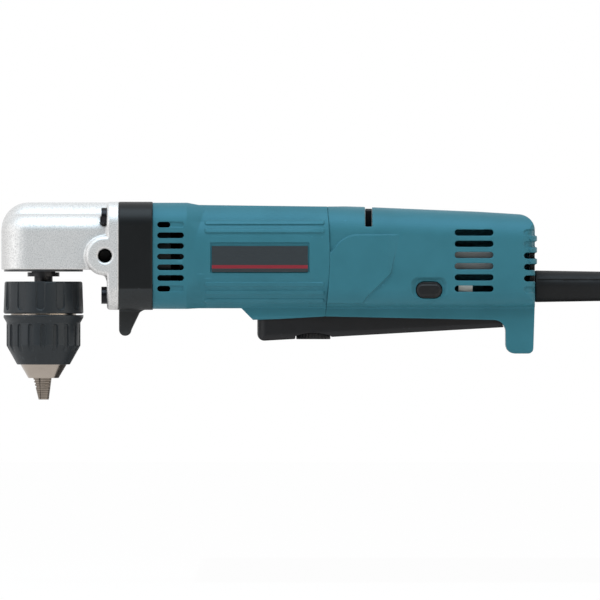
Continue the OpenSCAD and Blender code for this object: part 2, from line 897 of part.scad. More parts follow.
module head_screws() {
  color("#1d1d1f")
    for (p = screw_places)
      translate([0, p[0], 0])
        difference() {
          union() {
            x_cylinder(screw_head_r, flange_x - screw_head_t, flange_x, p[1]);
            x_cylinder(screw_r, flange_x - cut, motor_x + screw_into_motor, p[1]);
          }
          translate([flange_x - screw_head_t - cut, 0, p[1]])
            rotate([0, 90, 0])
              cylinder(r = 2.3, h = cut + 0.6 * screw_head_t, $fn = 6);
        }
}

// Gear case collar with the finger guard

module finger_guard_outline() {
  low = motor_z - collar_half;
  tip = low - guard_drop;
  polygon(concat(
    [[collar_x, low + cut], [collar_x, tip + guard_tip_len / 2]],
    arc([collar_x + guard_tip_len / 2, tip + guard_tip_len / 2], guard_tip_len / 2, 180, 360),
    [[collar_x + guard_tip_len + 4.2, low - 1.2], [collar_x + guard_tip_len + 6.4, low],
     [collar_x + guard_tip_len + 6.4, low + cut]]
  ));
}

module gear_case_collar() {
  step_x = plate_x - seat_gap;
  gear_room = spur_module * (spur_gear_teeth / 2 + 0.8) + 1.2;
  color("#222224")
    difference() {
      union() {
        along_x(collar_x, motor_x)
          flange_outline();
        intersection() {
          from_side(guard_half_w)
            finger_guard_outline();
          along_x(collar_x, motor_x)
            round_section(guard_half_w, collar_half + guard_drop, 3, motor_z);
        }
      }
      x_cylinder(plate_r - 1.2, collar_x - cut, motor_x, motor_z);
      x_cylinder(plate_r + seat_gap, step_x, motor_x + cut, motor_z);
      x_cylinder(gear_room, collar_x - cut, step_x + cut, bevel_z);
      corner_bores(screw_r + free_gap, collar_x - cut, motor_x + cut);
    }
}

// Motor

module bearing_plate() {
  seat_x = front_bearing_x + front_bearing_size[2];
  boss_r = front_bearing_size[1] + bearing_wall;
  rim_end = fan_x + 1.5;
  color("#2c2d2f")
    difference() {
      union() {
        x_cylinder(plate_r, plate_x, motor_x, motor_z);
        x_cylinder(boss_r, plate_x, seat_x, motor_z);
        difference() {
          x_cylinder(motor_bore_r - seat_gap, motor_x - 1, rim_end, motor_z);
          x_cylinder(fan_r + 2 * free_gap, motor_x - 2, rim_end + cut, motor_z);
        }
        x_cylinder(pinion_bush_size[1] + bearing_wall, plate_x, front_bearing_x + 2, bevel_z);
      }
      x_cylinder(front_bearing_size[1] + seat_gap, front_bearing_x, seat_x + cut, motor_z);
      x_cylinder(shaft_r + free_gap, plate_x - cut, seat_x, motor_z);
      x_cylinder(pinion_bush_size[1] + seat_gap, plate_x - cut, plate_x + pinion_bush_size[2], bevel_z);
    }
}

module armature_front_bearing() {
  color("silver")
    bearing_on_x(front_bearing_size, front_bearing_x, motor_z);
}

module armature_rear_bearing() {
  color("silver")
    bearing_on_x(rear_bearing_size, rear_bearing_x, motor_z);
}

// The shaft carries the spur pinion at its front end and a smaller journal at its rear
module armature_shaft() {
  teeth_end = spur_x + spur_width + 0.5;
  journal_x = commutator_x + commutator_len;
  color("gray")
    union() {
      translate([shaft_front_x, 0, motor_z])
        rotate([0, 90, 0])
          linear_extrude(teeth_end - shaft_front_x + 0.5)
            rotate(180)
              spur_outline(spur_pinion_teeth, spur_module);
      x_cylinder(shaft_r - running_gap, teeth_end, journal_x, motor_z);
      x_cylinder(
        rear_bearing_size[0] - running_gap, journal_x - cut, rear_bearing_x + rear_bearing_size[2], motor_z
      );
    }
}

core_bore_r = shaft_r + seat_gap - running_gap;
slot_w = 3.4;
slot_floor_r = 8;
slot_mouth_r = 12.6;

module armature_core() {
  color("#6b6d70")
    difference() {
      x_cylinder(armature_r, field_x, field_x + field_len, motor_z);
      x_cylinder(core_bore_r, field_x - cut, field_x + field_len + cut, motor_z);
      translate([field_x - cut, 0, motor_z])
        rotate([0, 90, 0])
          for (i = [0:armature_slots - 1])
            rotate(i * 360 / armature_slots) {
              translate([slot_floor_r, -slot_w / 2, 0])
                cube([slot_mouth_r - slot_floor_r, slot_w, field_len + 2 * cut]);
              translate([slot_floor_r, -slot_w / 6, 0])
                cube([armature_r, slot_w / 3, field_len + 2 * cut]);
            }
    }
}

// One bar in each slot, joined by a rounded bundle of turns at each end
module armature_windings() {
  end_len = 5;
  bundle_r = [slot_floor_r - 2, slot_mouth_r];
  color("#b5652a")
    translate([field_x, 0, motor_z])
      rotate([0, 90, 0])
        union() {
          for (i = [0:armature_slots - 1])
            rotate(i * 360 / armature_slots)
              translate([slot_floor_r + seat_gap, seat_gap - slot_w / 2, -1])
                cube([
                  slot_mouth_r - slot_floor_r - 2 * seat_gap, slot_w - 2 * seat_gap, field_len + 2
                ]);
          for (z = [-end_len, field_len])
            translate([0, 0, z])
              rotate_extrude()
                translate([(bundle_r[0] + bundle_r[1]) / 2, end_len / 2])
                  offset(r = 1.5)
                    square([bundle_r[1] - bundle_r[0] - 3, end_len - 3], center = true);
        }
}

module commutator() {
  bars = 2 * armature_slots;
  color("#b87333")
    difference() {
      x_cylinder(commutator_r, commutator_x, commutator_x + commutator_len, motor_z);
      x_cylinder(core_bore_r, commutator_x - cut, commutator_x + commutator_len + cut, motor_z);
      translate([commutator_x - cut, 0, motor_z])
        rotate([0, 90, 0])
          for (i = [0:bars - 1])
            rotate(i * 360 / bars)
              translate([commutator_r - 0.6, -0.2, 0])
                cube([2, 0.4, commutator_len + 2 * cut]);
    }
}

// A radial fan: hub, back disc and straight blades
module fan() {
  hub = 7;
  disc_t = 1.5;
  blade_t = 1.3;
  color("#3b3d40")
    translate([fan_x, 0, motor_z])
      rotate([0, 90, 0])
        difference() {
          union() {
            cylinder(r = hub, h = fan_len);
            translate([0, 0, fan_len - disc_t])
              cylinder(r = fan_r, h = disc_t);
            for (i = [0:fan_blades - 1])
              rotate(i * 360 / fan_blades)
                translate([hub - 1, -blade_t / 2, 0])
                  cube([fan_r - hub + 0.5, blade_t, fan_len - disc_t / 2]);
          }
          translate([0, 0, -cut])
            cylinder(r = core_bore_r, h = fan_len + 2 * cut);
        }
}

module fan_baffle() {
  color("#4a4c4f")
    difference() {
      x_cylinder(motor_bore_r - 0.2, baffle_x, baffle_x + baffle_t, motor_z);
      x_cylinder(slot_mouth_r + 1, baffle_x - cut, baffle_x + baffle_t + cut, motor_z);
    }
}

// A sector of the given half angle about the +X direction
module sector(r, half_angle) {
  polygon(concat([[0, 0]], arc([0, 0], r, -half_angle, half_angle)));
}

pole_half_angle = 40;

// A yoke ring with an upper and a lower pole
module field_stack() {
  color("#77797c")
    translate([field_x, 0, motor_z])
      rotate([0, 90, 0])
        linear_extrude(field_len)
          difference() {
            union() {
              difference() {
                circle(field_r);
                circle(yoke_r);
              }
              for (turn = [0, 180])
                rotate(turn)
                  intersection() {
                    circle(yoke_r + 0.5);
                    sector(2 * field_r, pole_half_angle);
                  }
            }
            circle(pole_r);
          }
}

// A saddle of turns round each pole
module field_coils() {
  reach = coil_overhang;
  slack = 1.5;
  color("#a8571f")
    translate([field_x - reach, 0, motor_z])
      rotate([0, 90, 0])
        for (turn = [0, 180])
          rotate(turn)
            difference() {
              linear_extrude(field_len + 2 * reach)
                intersection() {
                  difference() {
                    circle(yoke_r - 0.2);
                    circle(pole_r + 0.3);
                  }
                  sector(2 * field_r, pole_half_angle + 32);
                }
              translate([0, 0, reach - 0.3])
                linear_extrude(field_len + 0.6)
                  sector(2 * field_r, pole_half_angle + slack);
            }
}

brush_size = [6, 8, 4.4];
holder_wall = 1.2;
brush_gap = 0.06;

// A place for a brush on each side of the commutator
module at_brushes() {
  for (side = [0, 180])
    translate([brush_x, 0, motor_z])
      rotate(side)
        children();
}

module brush_holders() {
  tube = [brush_size[0], 0, brush_size[2]] / 2 + (holder_wall + seat_gap) * [1, 0, 1];
  bore = [brush_size[0], 0, brush_size[2]] / 2 + seat_gap * [1, 0, 1];
  low = commutator_r + 0.8;
  high = motor_bore_r - 0.75;
  color("#c9a14a")
    at_brushes()
      difference() {
        box([-tube[0], low, -tube[2]], [tube[0], high, tube[2]]);
        box([-bore[0], low - cut, -bore[2]], [bore[0], high - holder_wall, bore[2]]);
      }
}

// The brush ends are hollow-ground to the commutator
module carbon_brushes() {
  color("#2c2c2e")
    at_brushes()
      difference() {
        box(
          [-brush_size[0] / 2, commutator_r - 0.5, -brush_size[2] / 2],
          [brush_size[0] / 2, commutator_r + brush_size[1], brush_size[2] / 2]
        );
        x_cylinder(commutator_r + brush_gap, -brush_size[0], brush_size[0], 0);
      }
}

// Motor housing

// The seam with the handle bows backwards between two heights
seam_bow = 1.6;
seam_top_z = motor_z + grip_half - 1.1;
function seam_x(z) = handle_x + seam_bow * (1 - pow((z - motor_z - 1) / (grip_half + 0.5), 2));
function seam(from, to, steps = 8) =
  [for (i = [0:steps]) let (z = from + (to - from) * i / steps) [seam_x(z), z]];

motor_profile = concat(
  [[motor_x, motor_z + vent_half], [motor_x + vent_zone_len, motor_z + vent_half],
   [motor_x + vent_zone_len + vent_slope_len, motor_z + grip_half - 0.3]],
  seam(seam_top_z, seam_z),
  [[belly_x + 20, belly_z + 0.5], [belly_x + belly_slope_len, belly_z],
   [belly_x, motor_z - grip_half - 0.5],
   [motor_x + vent_zone_len + vent_slope_len, motor_z - grip_half - 0.5],
   [motor_x + vent_zone_len, motor_z - vent_half], [motor_x, motor_z - vent_half]]
);

// Rail section for the paddle, below the motor or handle body
module rail_section(low_z) {
  translate([0, low_z])
    offset(r = 3)
      translate([3 - rail_half_w, 3])
        square([2 * (rail_half_w - 3), rail_top_z - low_z]);
}

grip_corner_r = 17.5;
spigot_len = 3 + seam_bow;
slope_x = motor_x + vent_zone_len;
slope_edge = 0.5;
slope_sink = 0.03;
slope_line = [
  [slope_x + 9.8, motor_z + vent_half], [slope_x + 2.4, motor_z], [slope_x + 9.8, motor_z - vent_half]
];

module motor_section(corner_r, inset) {
  round_section(motor_half_w - inset, vent_half + 0.5 - inset, corner_r - inset, motor_z);
}

// The closed outer form, drawn in from every side by a set amount
module motor_form(inset = 0) {
  intersection() {
    from_side(2 * motor_half_w)
      offset(delta = -inset)
        polygon(motor_profile);
    union() {
      along_x(motor_x - cut, slope_x)
        motor_section(motor_corner_r, inset);
      along_x(slope_x - cut, handle_x + 2 * seam_bow)
        motor_section(grip_corner_r, inset);
      hull() {
        along_x(slope_x - slope_edge, slope_x)
          motor_section(motor_corner_r, inset + slope_sink);
        intersection() {
          along_x(slope_x, slope_x + 20)
            motor_section(grip_corner_r, inset + slope_sink);
          from_side(2 * motor_half_w)
            polygon(concat(slope_line, [for (i = [2:-1:0]) slope_line[i] + [slope_edge, 0]]));
        }
      }
      along_x(belly_x - cut, handle_x + cut)
        rail_section(belly_z - cut);
    }
  }
}

vent_x = motor_x + 2.35;
vent_len = 13.25;
vent_top_z = motor_z + 15.5;
vent_short = 6.5;

// Open slots along the front; the outer two are open for half of their length
module motor_vents() {
  from_side(2 * motor_half_w)
    for (i = [0:vent_count - 1])
      slot_outline(
        vent_x, vent_x + (i == 0 || i == vent_count - 1 ? vent_short : vent_len), vent_top_z - i * vent_pitch, vent_h
      );
}

plate_x0 = motor_x + 29.55;
plate_z0 = motor_z - 8.05;

// Raised ribs along the grip, above and below the nameplate
rib_x = motor_x + 26.15;
rib_end = handle_x - 1.25;
rib_heights = [16.7, 12.6, -14.4, -18.5, -22.6];
rib_out = 0.5;

module grip_ribs() {
  intersection() {
    from_side(2 * motor_half_w)
      for (rise = rib_heights)
        slot_outline(rib_x, rib_end, motor_z + rise, trim_w);
    along_x(rib_x - cut, rib_end + cut)
      motor_section(grip_corner_r, -rib_out);
  }
}

// The nameplate's recess and the blind ends of the outer slots

module motor_trim() {
  for (i = [0, vent_count - 1])
    slot_outline(vent_x, vent_x + vent_len, vent_top_z - i * vent_pitch, vent_h);
  translate([plate_x0 - 0.8, plate_z0 - 0.3])
    square([plate_len + 1.6, plate_h + 2]);
}

// The paddle's channel is open below
channel_half_w = paddle_half_w + free_gap;
channel_x = belly_x + belly_slope_len + 1.15;
channel_top_z = motor_z - motor_bore_r - 1.2;

module motor_housing() {
  rear_wall_x = handle_x - rear_wall_t;
  boss_x = rear_bearing_x - 1;
  pocket_end = rear_bearing_x + rear_bearing_size[2];
  windows = 6;
  color("#3a7f94")
    union() {
      difference() {
        union() {
          motor_form();
          grip_ribs();
        }
        x_cylinder(motor_bore_r, motor_x - cut, handle_x + 2 * seam_bow, motor_z);
        motor_vents();
        difference() {
          from_side(2 * motor_half_w)
            motor_trim();
          motor_form(trim_depth);
        }
        corner_bores(screw_r + seat_gap, motor_x - cut, motor_x + screw_into_motor + 2);
        box([channel_x, -channel_half_w, 0], [handle_x + cut, channel_half_w, channel_top_z]);
      }
      difference() {
        union() {
          x_cylinder(motor_bore_r + 0.5, rear_wall_x, handle_x, motor_z);
          x_cylinder(rear_boss_r, boss_x, pocket_end + 2, motor_z);
          difference() {
            x_cylinder(motor_bore_r - 1.5, handle_x - cut, handle_x + spigot_len, motor_z);
            x_cylinder(motor_bore_r - 3.5, handle_x - 2 * cut, handle_x + spigot_len + cut, motor_z);
          }
        }
        x_cylinder(rear_bearing_size[1] + seat_gap, boss_x - cut, pocket_end, motor_z);
        x_cylinder(rear_bearing_size[0] + 1, pocket_end - cut, pocket_end + 3, motor_z);
        translate([rear_wall_x - cut, 0, motor_z])
          rotate([0, 90, 0])
            for (i = [0:windows - 1])
              rotate((i + 0.5) * 360 / windows)
                translate([(rear_boss_r + motor_bore_r - 3.5) / 2, 0, 0])
                  cylinder(r = 2.8, h = rear_wall_t + 2 * cut);
      }
    }
}

module nameplate() {
  y = trim_depth - motor_half_w;
  color("#46474a")
    box([plate_x0, y - plate_t, plate_z0], [plate_x0 + plate_len, y, plate_z0 + plate_h]);
}

// Rear handle

foot_x = rear_x - 0.75 - foot_len;
foot_z = motor_z - foot_depth;
arch_r = 6;
arch_centre = [foot_x - arch_r, belly_z - arch_r];
foot_corner_r = 2.6;
foot_front_r = 4.5;
rear_corner_r = 8.5;
rear_corner_z = motor_z + 12.3;
handle_top = 24.7;
handle_fall = 2.4;
handle_bottom = 25.7;
handle_bottom_r = 10;
handle_plan_r = 7;
swell = 1.2;
swell_slope = 5;
swell_end = handle_x + 36;
swell_arc_r = 14.5;
swell_arc_centre = [handle_x + 16, motor_z - 4.1];
swell_low = [[swell_end - 4, motor_z - 9], [handle_x + 20.5, motor_z - 20], [handle_x + 18, motor_z - 23.7]];
tall = 120;

handle_profile = concat(
  [[handle_x + 10, motor_z + handle_top],
   [handle_x + 46, motor_z + handle_top - 0.95], [rear_x - 27.5, motor_z + handle_top - 2.7]],
  arc([rear_x - rear_corner_r, rear_corner_z], rear_corner_r, 90, 0),
  [[rear_x, motor_z - 22.8]],
  arc([rear_x - 0.75 - foot_corner_r, foot_z + foot_corner_r], foot_corner_r, 0, -90, 5),
  arc([foot_x + foot_front_r, foot_z + foot_front_r], foot_front_r, 270, 180, 5),
  arc(arch_centre, arch_r, 0, 90),
  seam(seam_z, seam_top_z)
);

// The body of the handle without the rail, drawn in from every side by a set amount
module handle_upper(inset = 0) {
  intersection() {
    from_side(2 * handle_half_w)
      offset(delta = -inset)
        polygon(handle_profile);
    translate([handle_x, 0, motor_z])
      rotate([0, handle_fall, 0])
        along_x(-10, handle_len + 10)
          round_section(
            handle_half_w - inset, tall - inset, handle_corner_r - inset, handle_top + 0.5 - tall
          );
    along_x(handle_x - cut, rear_x + cut)
      round_section(
        handle_half_w - inset, tall - inset, handle_bottom_r - inset, motor_z - handle_bottom + tall
      );
    linear_extrude(tall)
      offset(r = handle_plan_r - inset)
        translate([handle_x - tall, handle_plan_r - handle_half_w])
          square([rear_x - handle_x + tall - handle_plan_r, 2 * (handle_half_w - handle_plan_r)]);
  }
}

// The rail below the body, with the foot at its end
module handle_rail() {
  intersection() {
    from_side(2 * handle_half_w)
      polygon(handle_profile);
    along_x(handle_x - seam_bow, rear_x + cut)
      rail_section(foot_z - cut);
  }
}

// The swelling beside the brushes; its rear end slopes down
module palm_swell() {
  intersection() {
    handle_upper(-swell);
    from_side(2 * handle_half_w)
      polygon(handle_profile);
    from_side(2 * handle_half_w)
      polygon(concat(
        [[handle_x - cut, swell_low[2][1]], [handle_x - cut, motor_z + 1]],
        arc(swell_arc_centre, swell_arc_r, 155, 90, 6),
        [[swell_end, swell_arc_centre[1] + swell_arc_r]], swell_low
      ));
    linear_extrude(tall)
      polygon([
        for (side = [-1, 1])
          for (p = [[handle_x, swell], [swell_end - swell_slope, swell], [swell_end, 0]])
            [p[0], side * (handle_half_w + p[1])]
      ], [[0, 1, 2, 5, 4, 3]]);
  }
}

side_vent_x = handle_x + 63.85;
side_vent_z = motor_z + 11.55;

module side_vent_slots() {
  for (i = [0:side_vents - 1])
    slot_outline(side_vent_x, side_vent_x + side_vent_len, side_vent_z - i * side_vent_pitch, side_vent_h);
}

// Slots that wrap round the rear corners: pitch, height and which of the six are open
wrap_x = rear_x - 5.6;
wrap_h = 3;
wrap_z = motor_z + 11.45;
wrap_pitch = 5.69;
wrap_open = [false, false, true, true, true, false];
wrap_depth = 0.8;

module wrap_slots(open) {
  for (i = [0:len(wrap_open) - 1])
    if (wrap_open[i] == open)
      slot_outline(wrap_x, rear_x + 2 * wrap_h, wrap_z - i * wrap_pitch, wrap_h);
}

// Bars between the upper slots stand out a little
bar_out = 1;
bar_count = 3;

module rear_bars() {
  intersection() {
    handle_upper(-bar_out);
    from_side(2 * handle_half_w)
      for (i = [0:bar_count - 1])
        slot_outline(wrap_x + wrap_h, rear_x + 2 * wrap_h, wrap_z - (i + 0.5) * wrap_pitch, wrap_pitch - wrap_h);
  }
}

// Reversing lever place and the slot that it swings in
reverse_x = handle_x + 21;
reverse_pivot_z = motor_z + 4.2;
reverse_pin_r = 1.5;
reverse_top_z = motor_z + 23.6;
reverse_slot = reverse_t / 2 + free_gap;
ear_t = 2.8;
slot_floor_z = motor_z + 14.5;
reverse_arm = [2.4, 3.6];

// Lock button place
button_x = handle_x + 51.1;
button_z = motor_z - 17.05;
button_room = 0.3;
button_dish = [18.4, 12.8, 1.6];

// Handle screws: place along the tool, height and depth of the head's seat
handle_screw_places = [
  [handle_x + 9.5, motor_z - 19.5, 14], [handle_x + 9.5, motor_z + 17, 14],
  [handle_x + 46, motor_z + 17, 14], [rear_x - 15, motor_z + 14, 14],
  [rear_x - 7.6, foot_z + 9, 8]
];
handle_screw_r = 1.75;
handle_screw_head = [3.5, 2.5];
screw_cross = [4, 2.4, 0.9];
handle_boss_r = 5;

// Cord entry
cord_z = motor_z - 15.2;
guard_neck_r = cord_guard_r - 0.8;

// Shelves and ribs that carry what lies inside
shelf_t = 1.6;
inner_wall_y = 4;
vent_cut_y = 12;
suppressor_z = motor_z - 7.2;
terminal_z = motor_z - 18.8;
switch_x = handle_x + 15;
switch_len = 39;
switch_half_w = 11;
switch_z = motor_z - 19.5;
switch_h = 20;
rib_t = 2;
suppressor_x = switch_x + switch_len + 8.85;
suppressor_end = rear_x - 18.15;
suppressor_half_w = 7;
suppressor_y = -13;
suppressor_h = 10.6;
terminal_x = suppressor_x + 3;
terminal_len = 7;
clamp_x = rear_x - 13;
clamp_len = 4.5;
clamp_half_w = 9;

paddle_pin_x = foot_x - 9;
paddle_pin_z = belly_z + 4.25;
paddle_pin_r = 2;
paddle_pin_half = rail_half_w - 1;

// The outer zone of one side, where its vents are cut
module vent_zone(side) {
  box([handle_x, side < 0 ? -tall : vent_cut_y, 0], [rear_x + tall, side < 0 ? -vent_cut_y : tall, tall]);
}

// One half shell: side is -1 for the left half and 1 for the right half
module handle_half(side) {
  difference() {
    union() {
      difference() {
        union() {
          handle_upper();
          palm_swell();
          rear_bars();
          handle_rail();
        }
        handle_upper(wall);
      }
      intersection() {
        handle_upper(wall / 2);
        union() {
          for (p = handle_screw_places)
            y_cylinder(handle_boss_r, -tall, tall, p[0], p[1]);
          box(
            [reverse_x - reverse_slot - shelf_t, -tall, slot_floor_z - shelf_t],
            [reverse_x + reverse_slot + shelf_t, tall, tall]
          );
          for (x = [switch_x + 4, switch_x + 22])
            for (y = [-tall, switch_half_w])
              box([x, y, switch_z], [x + rib_t, y + tall - switch_half_w, switch_z + switch_h]);
          for (z = [suppressor_z, terminal_z])
            box(
              [suppressor_x - 1, side < 0 ? -tall : inner_wall_y, z - shelf_t],
              [suppressor_end + 1, side < 0 ? -inner_wall_y : tall, z]
            );
          if (side > 0)
            for (span = [[suppressor_x - 1, suppressor_end + 1, terminal_z - shelf_t],
                         [clamp_x + clamp_len + free_gap, rear_x, suppressor_z - 1]])
              box([span[0], inner_wall_y, span[2]], [span[1], inner_wall_y + shelf_t, slot_floor_z]);
        }
      }
    }
    box([handle_x - tall, min(0, side * -tall), -tall], [rear_x + tall, max(0, side * -tall), 2 * tall]);
    box(
      [reverse_x - reverse_slot, -tall, slot_floor_z], [reverse_x + reverse_slot, tall, 2 * tall]
    );
    box(
      [reverse_x - reverse_slot, -6, slot_floor_z - 2 * shelf_t], [reverse_x + reverse_slot, 6, slot_floor_z + cut]
    );
    intersection() {
      from_side(2 * handle_half_w) {
        side_vent_slots();
        wrap_slots(true);
      }
      vent_zone(side);
    }
    difference() {
      intersection() {
        from_side(2 * handle_half_w)
          wrap_slots(false);
        vent_zone(side);
      }
      handle_upper(wrap_depth);
    }
    x_cylinder(motor_bore_r - 1.5 + seat_gap, handle_x - cut, handle_x + spigot_len + cut, motor_z);
    box([handle_x - cut, -channel_half_w, 0], [foot_x - 0.3, channel_half_w, rail_top_z]);
    y_cylinder(paddle_pin_r + seat_gap, -paddle_pin_half, paddle_pin_half, paddle_pin_x, paddle_pin_z);
    x_cylinder(guard_neck_r + seat_gap, rear_x - wall - 2 * cut, rear_x + cut, cord_z);
    for (p = handle_screw_places) {
      y_cylinder(handle_screw_r + seat_gap, -p[2] - cut, p[2] + cut, p[0], p[1]);
      y_cylinder(handle_screw_head[0] + free_gap, p[2], tall, p[0], p[1]);
    }
    if (side < 0) {
      translate([button_x, -handle_half_w, button_z])
        rotate([-90, 0, 0])
          linear_extrude(button_dish[2], scale = 0.8)
            offset(r = 4)
              square([button_dish[0] - 8, button_dish[1] - 8], center = true);
      translate([0, -handle_half_w / 2, 0])
        from_side(handle_half_w / 2 + cut)
          slot_outline(
            button_x - button_len / 2 - button_room, button_x + button_len / 2 + button_room, button_z,
            button_h + 2 * button_room
          );
    }
  }
}

module handle_left() {
  color("#3a7f94")
    handle_half(-1);
}

module handle_right() {
  color("#3a7f94")
    handle_half(1);
}

module handle_screws() {
  color("#3a3a3c")
    for (p = handle_screw_places)
      difference() {
        union() {
          y_cylinder(handle_screw_r, -p[2], p[2] + cut, p[0], p[1]);
          y_cylinder(handle_screw_head[0], p[2], p[2] + handle_screw_head[1], p[0], p[1]);
        }
        for (turn = [0, 90])
          translate([p[0], p[2] + handle_screw_head[1], p[1]])
            rotate([0, turn, 0])
              cube(screw_cross, center = true);
      }
}

// Inside the handle

module switch_body() {
  ear_h = reverse_pivot_z + 3.5 - switch_z;
  ear_half_w = 4;
  ear_end = reverse_slot + ear_t;
  color("#2a2a2c")
    difference() {
      union() {
        box(
          [switch_x, -switch_half_w, switch_z],
          [switch_x + switch_len, switch_half_w, switch_z + switch_h]
        );
        for (x = [reverse_x - ear_end, reverse_x + reverse_slot])
          box([x, -ear_half_w, switch_z], [x + ear_t, ear_half_w, switch_z + ear_h]);
      }
      x_cylinder(
        reverse_pin_r + running_gap, reverse_x - ear_end - cut, reverse_x + ear_end + cut, reverse_pivot_z
      );
    }
}

module noise_suppressor() {
  corner_r = 1;
  color("#8c8d8f")
    translate([suppressor_x, suppressor_y, suppressor_z])
      linear_extrude(suppressor_h)
        offset(r = corner_r)
          translate([corner_r, corner_r - suppressor_half_w])
            square([suppressor_end - suppressor_x - 2 * corner_r, 2 * (suppressor_half_w - corner_r)]);
}

module terminal_block() {
  color("#e4e4e0")
    difference() {
      box([terminal_x, -20, terminal_z], [terminal_x + terminal_len, -9, terminal_z + 4.6]);
      for (y = [-17, -12])
        translate([terminal_x + terminal_len / 2, y, terminal_z + 2])
          cylinder(r = 1.4, h = 2 * shelf_t + 2);
    }
}

module cord_clamp() {
  sleeve_r = guard_neck_r - 1.4;
  color("#2a2a2c")
    box(
      [clamp_x, -clamp_half_w, cord_z + sleeve_r],
      [clamp_x + clamp_len, clamp_half_w, cord_z + sleeve_r + 3]
    );
}

// Cord guard: an inner sleeve, a collar behind the wall, a neck in the wall and a long taper
module cord_guard() {
  sleeve_r = guard_neck_r - 1.4;
  collar_r = guard_neck_r + 1;
  inside = rear_x - wall - 0.1;
  outside = rear_x + 0.15;
  end = outside + cord_guard_len;
  lip_r = 1;
  line_depth = 0.3;
  line_z = [2.7, 3.1];
  color("#2b2b2c")
    translate([0, 0, cord_z])
      difference() {
        rotate([0, 90, 0])
          rotate_extrude()
            polygon(concat(
              [[cord_hole_r, rear_x - 14], [sleeve_r, rear_x - 14], [sleeve_r, inside - 2.2],
               [collar_r, inside - 2.2], [collar_r, inside], [guard_neck_r, inside],
               [guard_neck_r, outside], [cord_guard_r, outside]],
              arc([cord_guard_end_r - lip_r, end - lip_r], lip_r, 0, 90, 4),
              [[cord_hole_r, end]]
            ));
        difference() {
          box([outside + lip_r, -2 * cord_guard_r, line_z[0]], [end - 2 * lip_r, 2 * cord_guard_r, line_z[1]]);
          translate([outside, 0, 0])
            rotate([0, 90, 0])
              cylinder(
                r1 = cord_guard_r - line_depth, r2 = cord_guard_end_r - line_depth, h = end - lip_r - outside
              );
        }
      }
}

// Controls

paddle_x = belly_x + belly_slope_len + 2.15;
paddle_depth = [42.4, 36.15];
paddle_low_z = motor_z - paddle_depth[0];
paddle_end_z = motor_z - paddle_depth[1];
paddle_front_r = 3.5;
paddle_rise = atan((paddle_end_z - paddle_low_z) / (foot_x + 1.9 - paddle_x - paddle_front_r));
paddle_wall = 2.4;
paddle_ear_r = 4.2;
dial_setback = 28;
dial_x = paddle_x + dial_setback;
dial_arch_r = 25;

function paddle_bottom(x) = paddle_low_z + (x - paddle_x - paddle_front_r) * tan(paddle_rise);

dial_z = paddle_bottom(dial_x) - 0.5;
dial_pin_r = 2;
dial_pin_len = 4;

module paddle_outline() {
  polygon(concat(
    [[paddle_x, belly_z + 0.7], [handle_x, seam_z + 0.8], [paddle_pin_x - 8, belly_z + 1.4],
     [paddle_pin_x - 3, paddle_pin_z], [paddle_pin_x + 3, paddle_pin_z]],
    arc(arch_centre, arch_r + free_gap, 90, 50, 5),
    arc(arch_centre, arch_r - free_gap - 0.1, 35, 25, 2),
    arc([paddle_x + paddle_front_r, paddle_low_z + paddle_front_r], paddle_front_r, 270, 180, 6)
  ));
}

// Things that lie along the sloping underside of the paddle
module on_paddle_bottom() {
  translate([paddle_x + paddle_front_r, 0, paddle_low_z])
    rotate([0, -paddle_rise, 0])
      children();
}

module paddle() {
  length = foot_x - paddle_x + 2 * paddle_front_r;
  color("#262628")
    difference() {
      union() {
        intersection() {
          from_side(paddle_half_w)
            paddle_outline();
          on_paddle_bottom()
            along_x(-2 * paddle_front_r, length)
              round_section(paddle_half_w, tall, 3, tall);
          linear_extrude(tall)
            offset(r = 5)
              translate([paddle_x + 5, 5 - paddle_half_w])
                square([length + tall, 2 * (paddle_half_w - 5)]);
        }
        y_cylinder(paddle_ear_r, -paddle_half_w, paddle_half_w, paddle_pin_x, paddle_pin_z);
      }
      for (span = [[paddle_x + 5, dial_x - 12], [dial_x + 12, paddle_pin_x - 9]])
        on_paddle_bottom()
          box(
            [span[0] - paddle_x - paddle_front_r, paddle_wall - paddle_half_w, paddle_wall],
            [span[1] - paddle_x - paddle_front_r, paddle_half_w - paddle_wall, tall]
          );
      translate([dial_x, 0, dial_z - tall])
        cylinder(r = dial_r + 2 * free_gap, h = tall + dial_t + free_gap);
      translate([dial_x, 0, dial_z])
        cylinder(r = dial_pin_r + running_gap, h = dial_t + dial_pin_len + 2 * free_gap);
      from_side(2 * paddle_half_w)
        intersection() {
          translate([dial_x, dial_z + dial_t - dial_arch_r])
            circle(dial_arch_r);
          translate([dial_x - dial_r - free_gap, dial_z - dial_t])
            square([2 * (dial_r + free_gap), 3 * dial_t]);
        }
      y_cylinder(paddle_pin_r + running_gap, -tall, tall, paddle_pin_x, paddle_pin_z);
    }
}

module paddle_pin() {
  color("silver")
    y_cylinder(paddle_pin_r, -paddle_pin_half + seat_gap, paddle_pin_half - seat_gap, paddle_pin_x, paddle_pin_z);
}

module speed_dial() {
  color("#2f3032")
    translate([dial_x, 0, dial_z])
      union() {
        difference() {
          cylinder(r = dial_r, h = dial_t);
          for (i = [0:dial_ribs - 1])
            rotate(i * 360 / dial_ribs)
              translate([dial_r, 0, -cut])
                cylinder(r = 0.45, h = dial_t + 2 * cut);
        }
        cylinder(r = dial_pin_r, h = dial_t + dial_pin_len);
      }
}

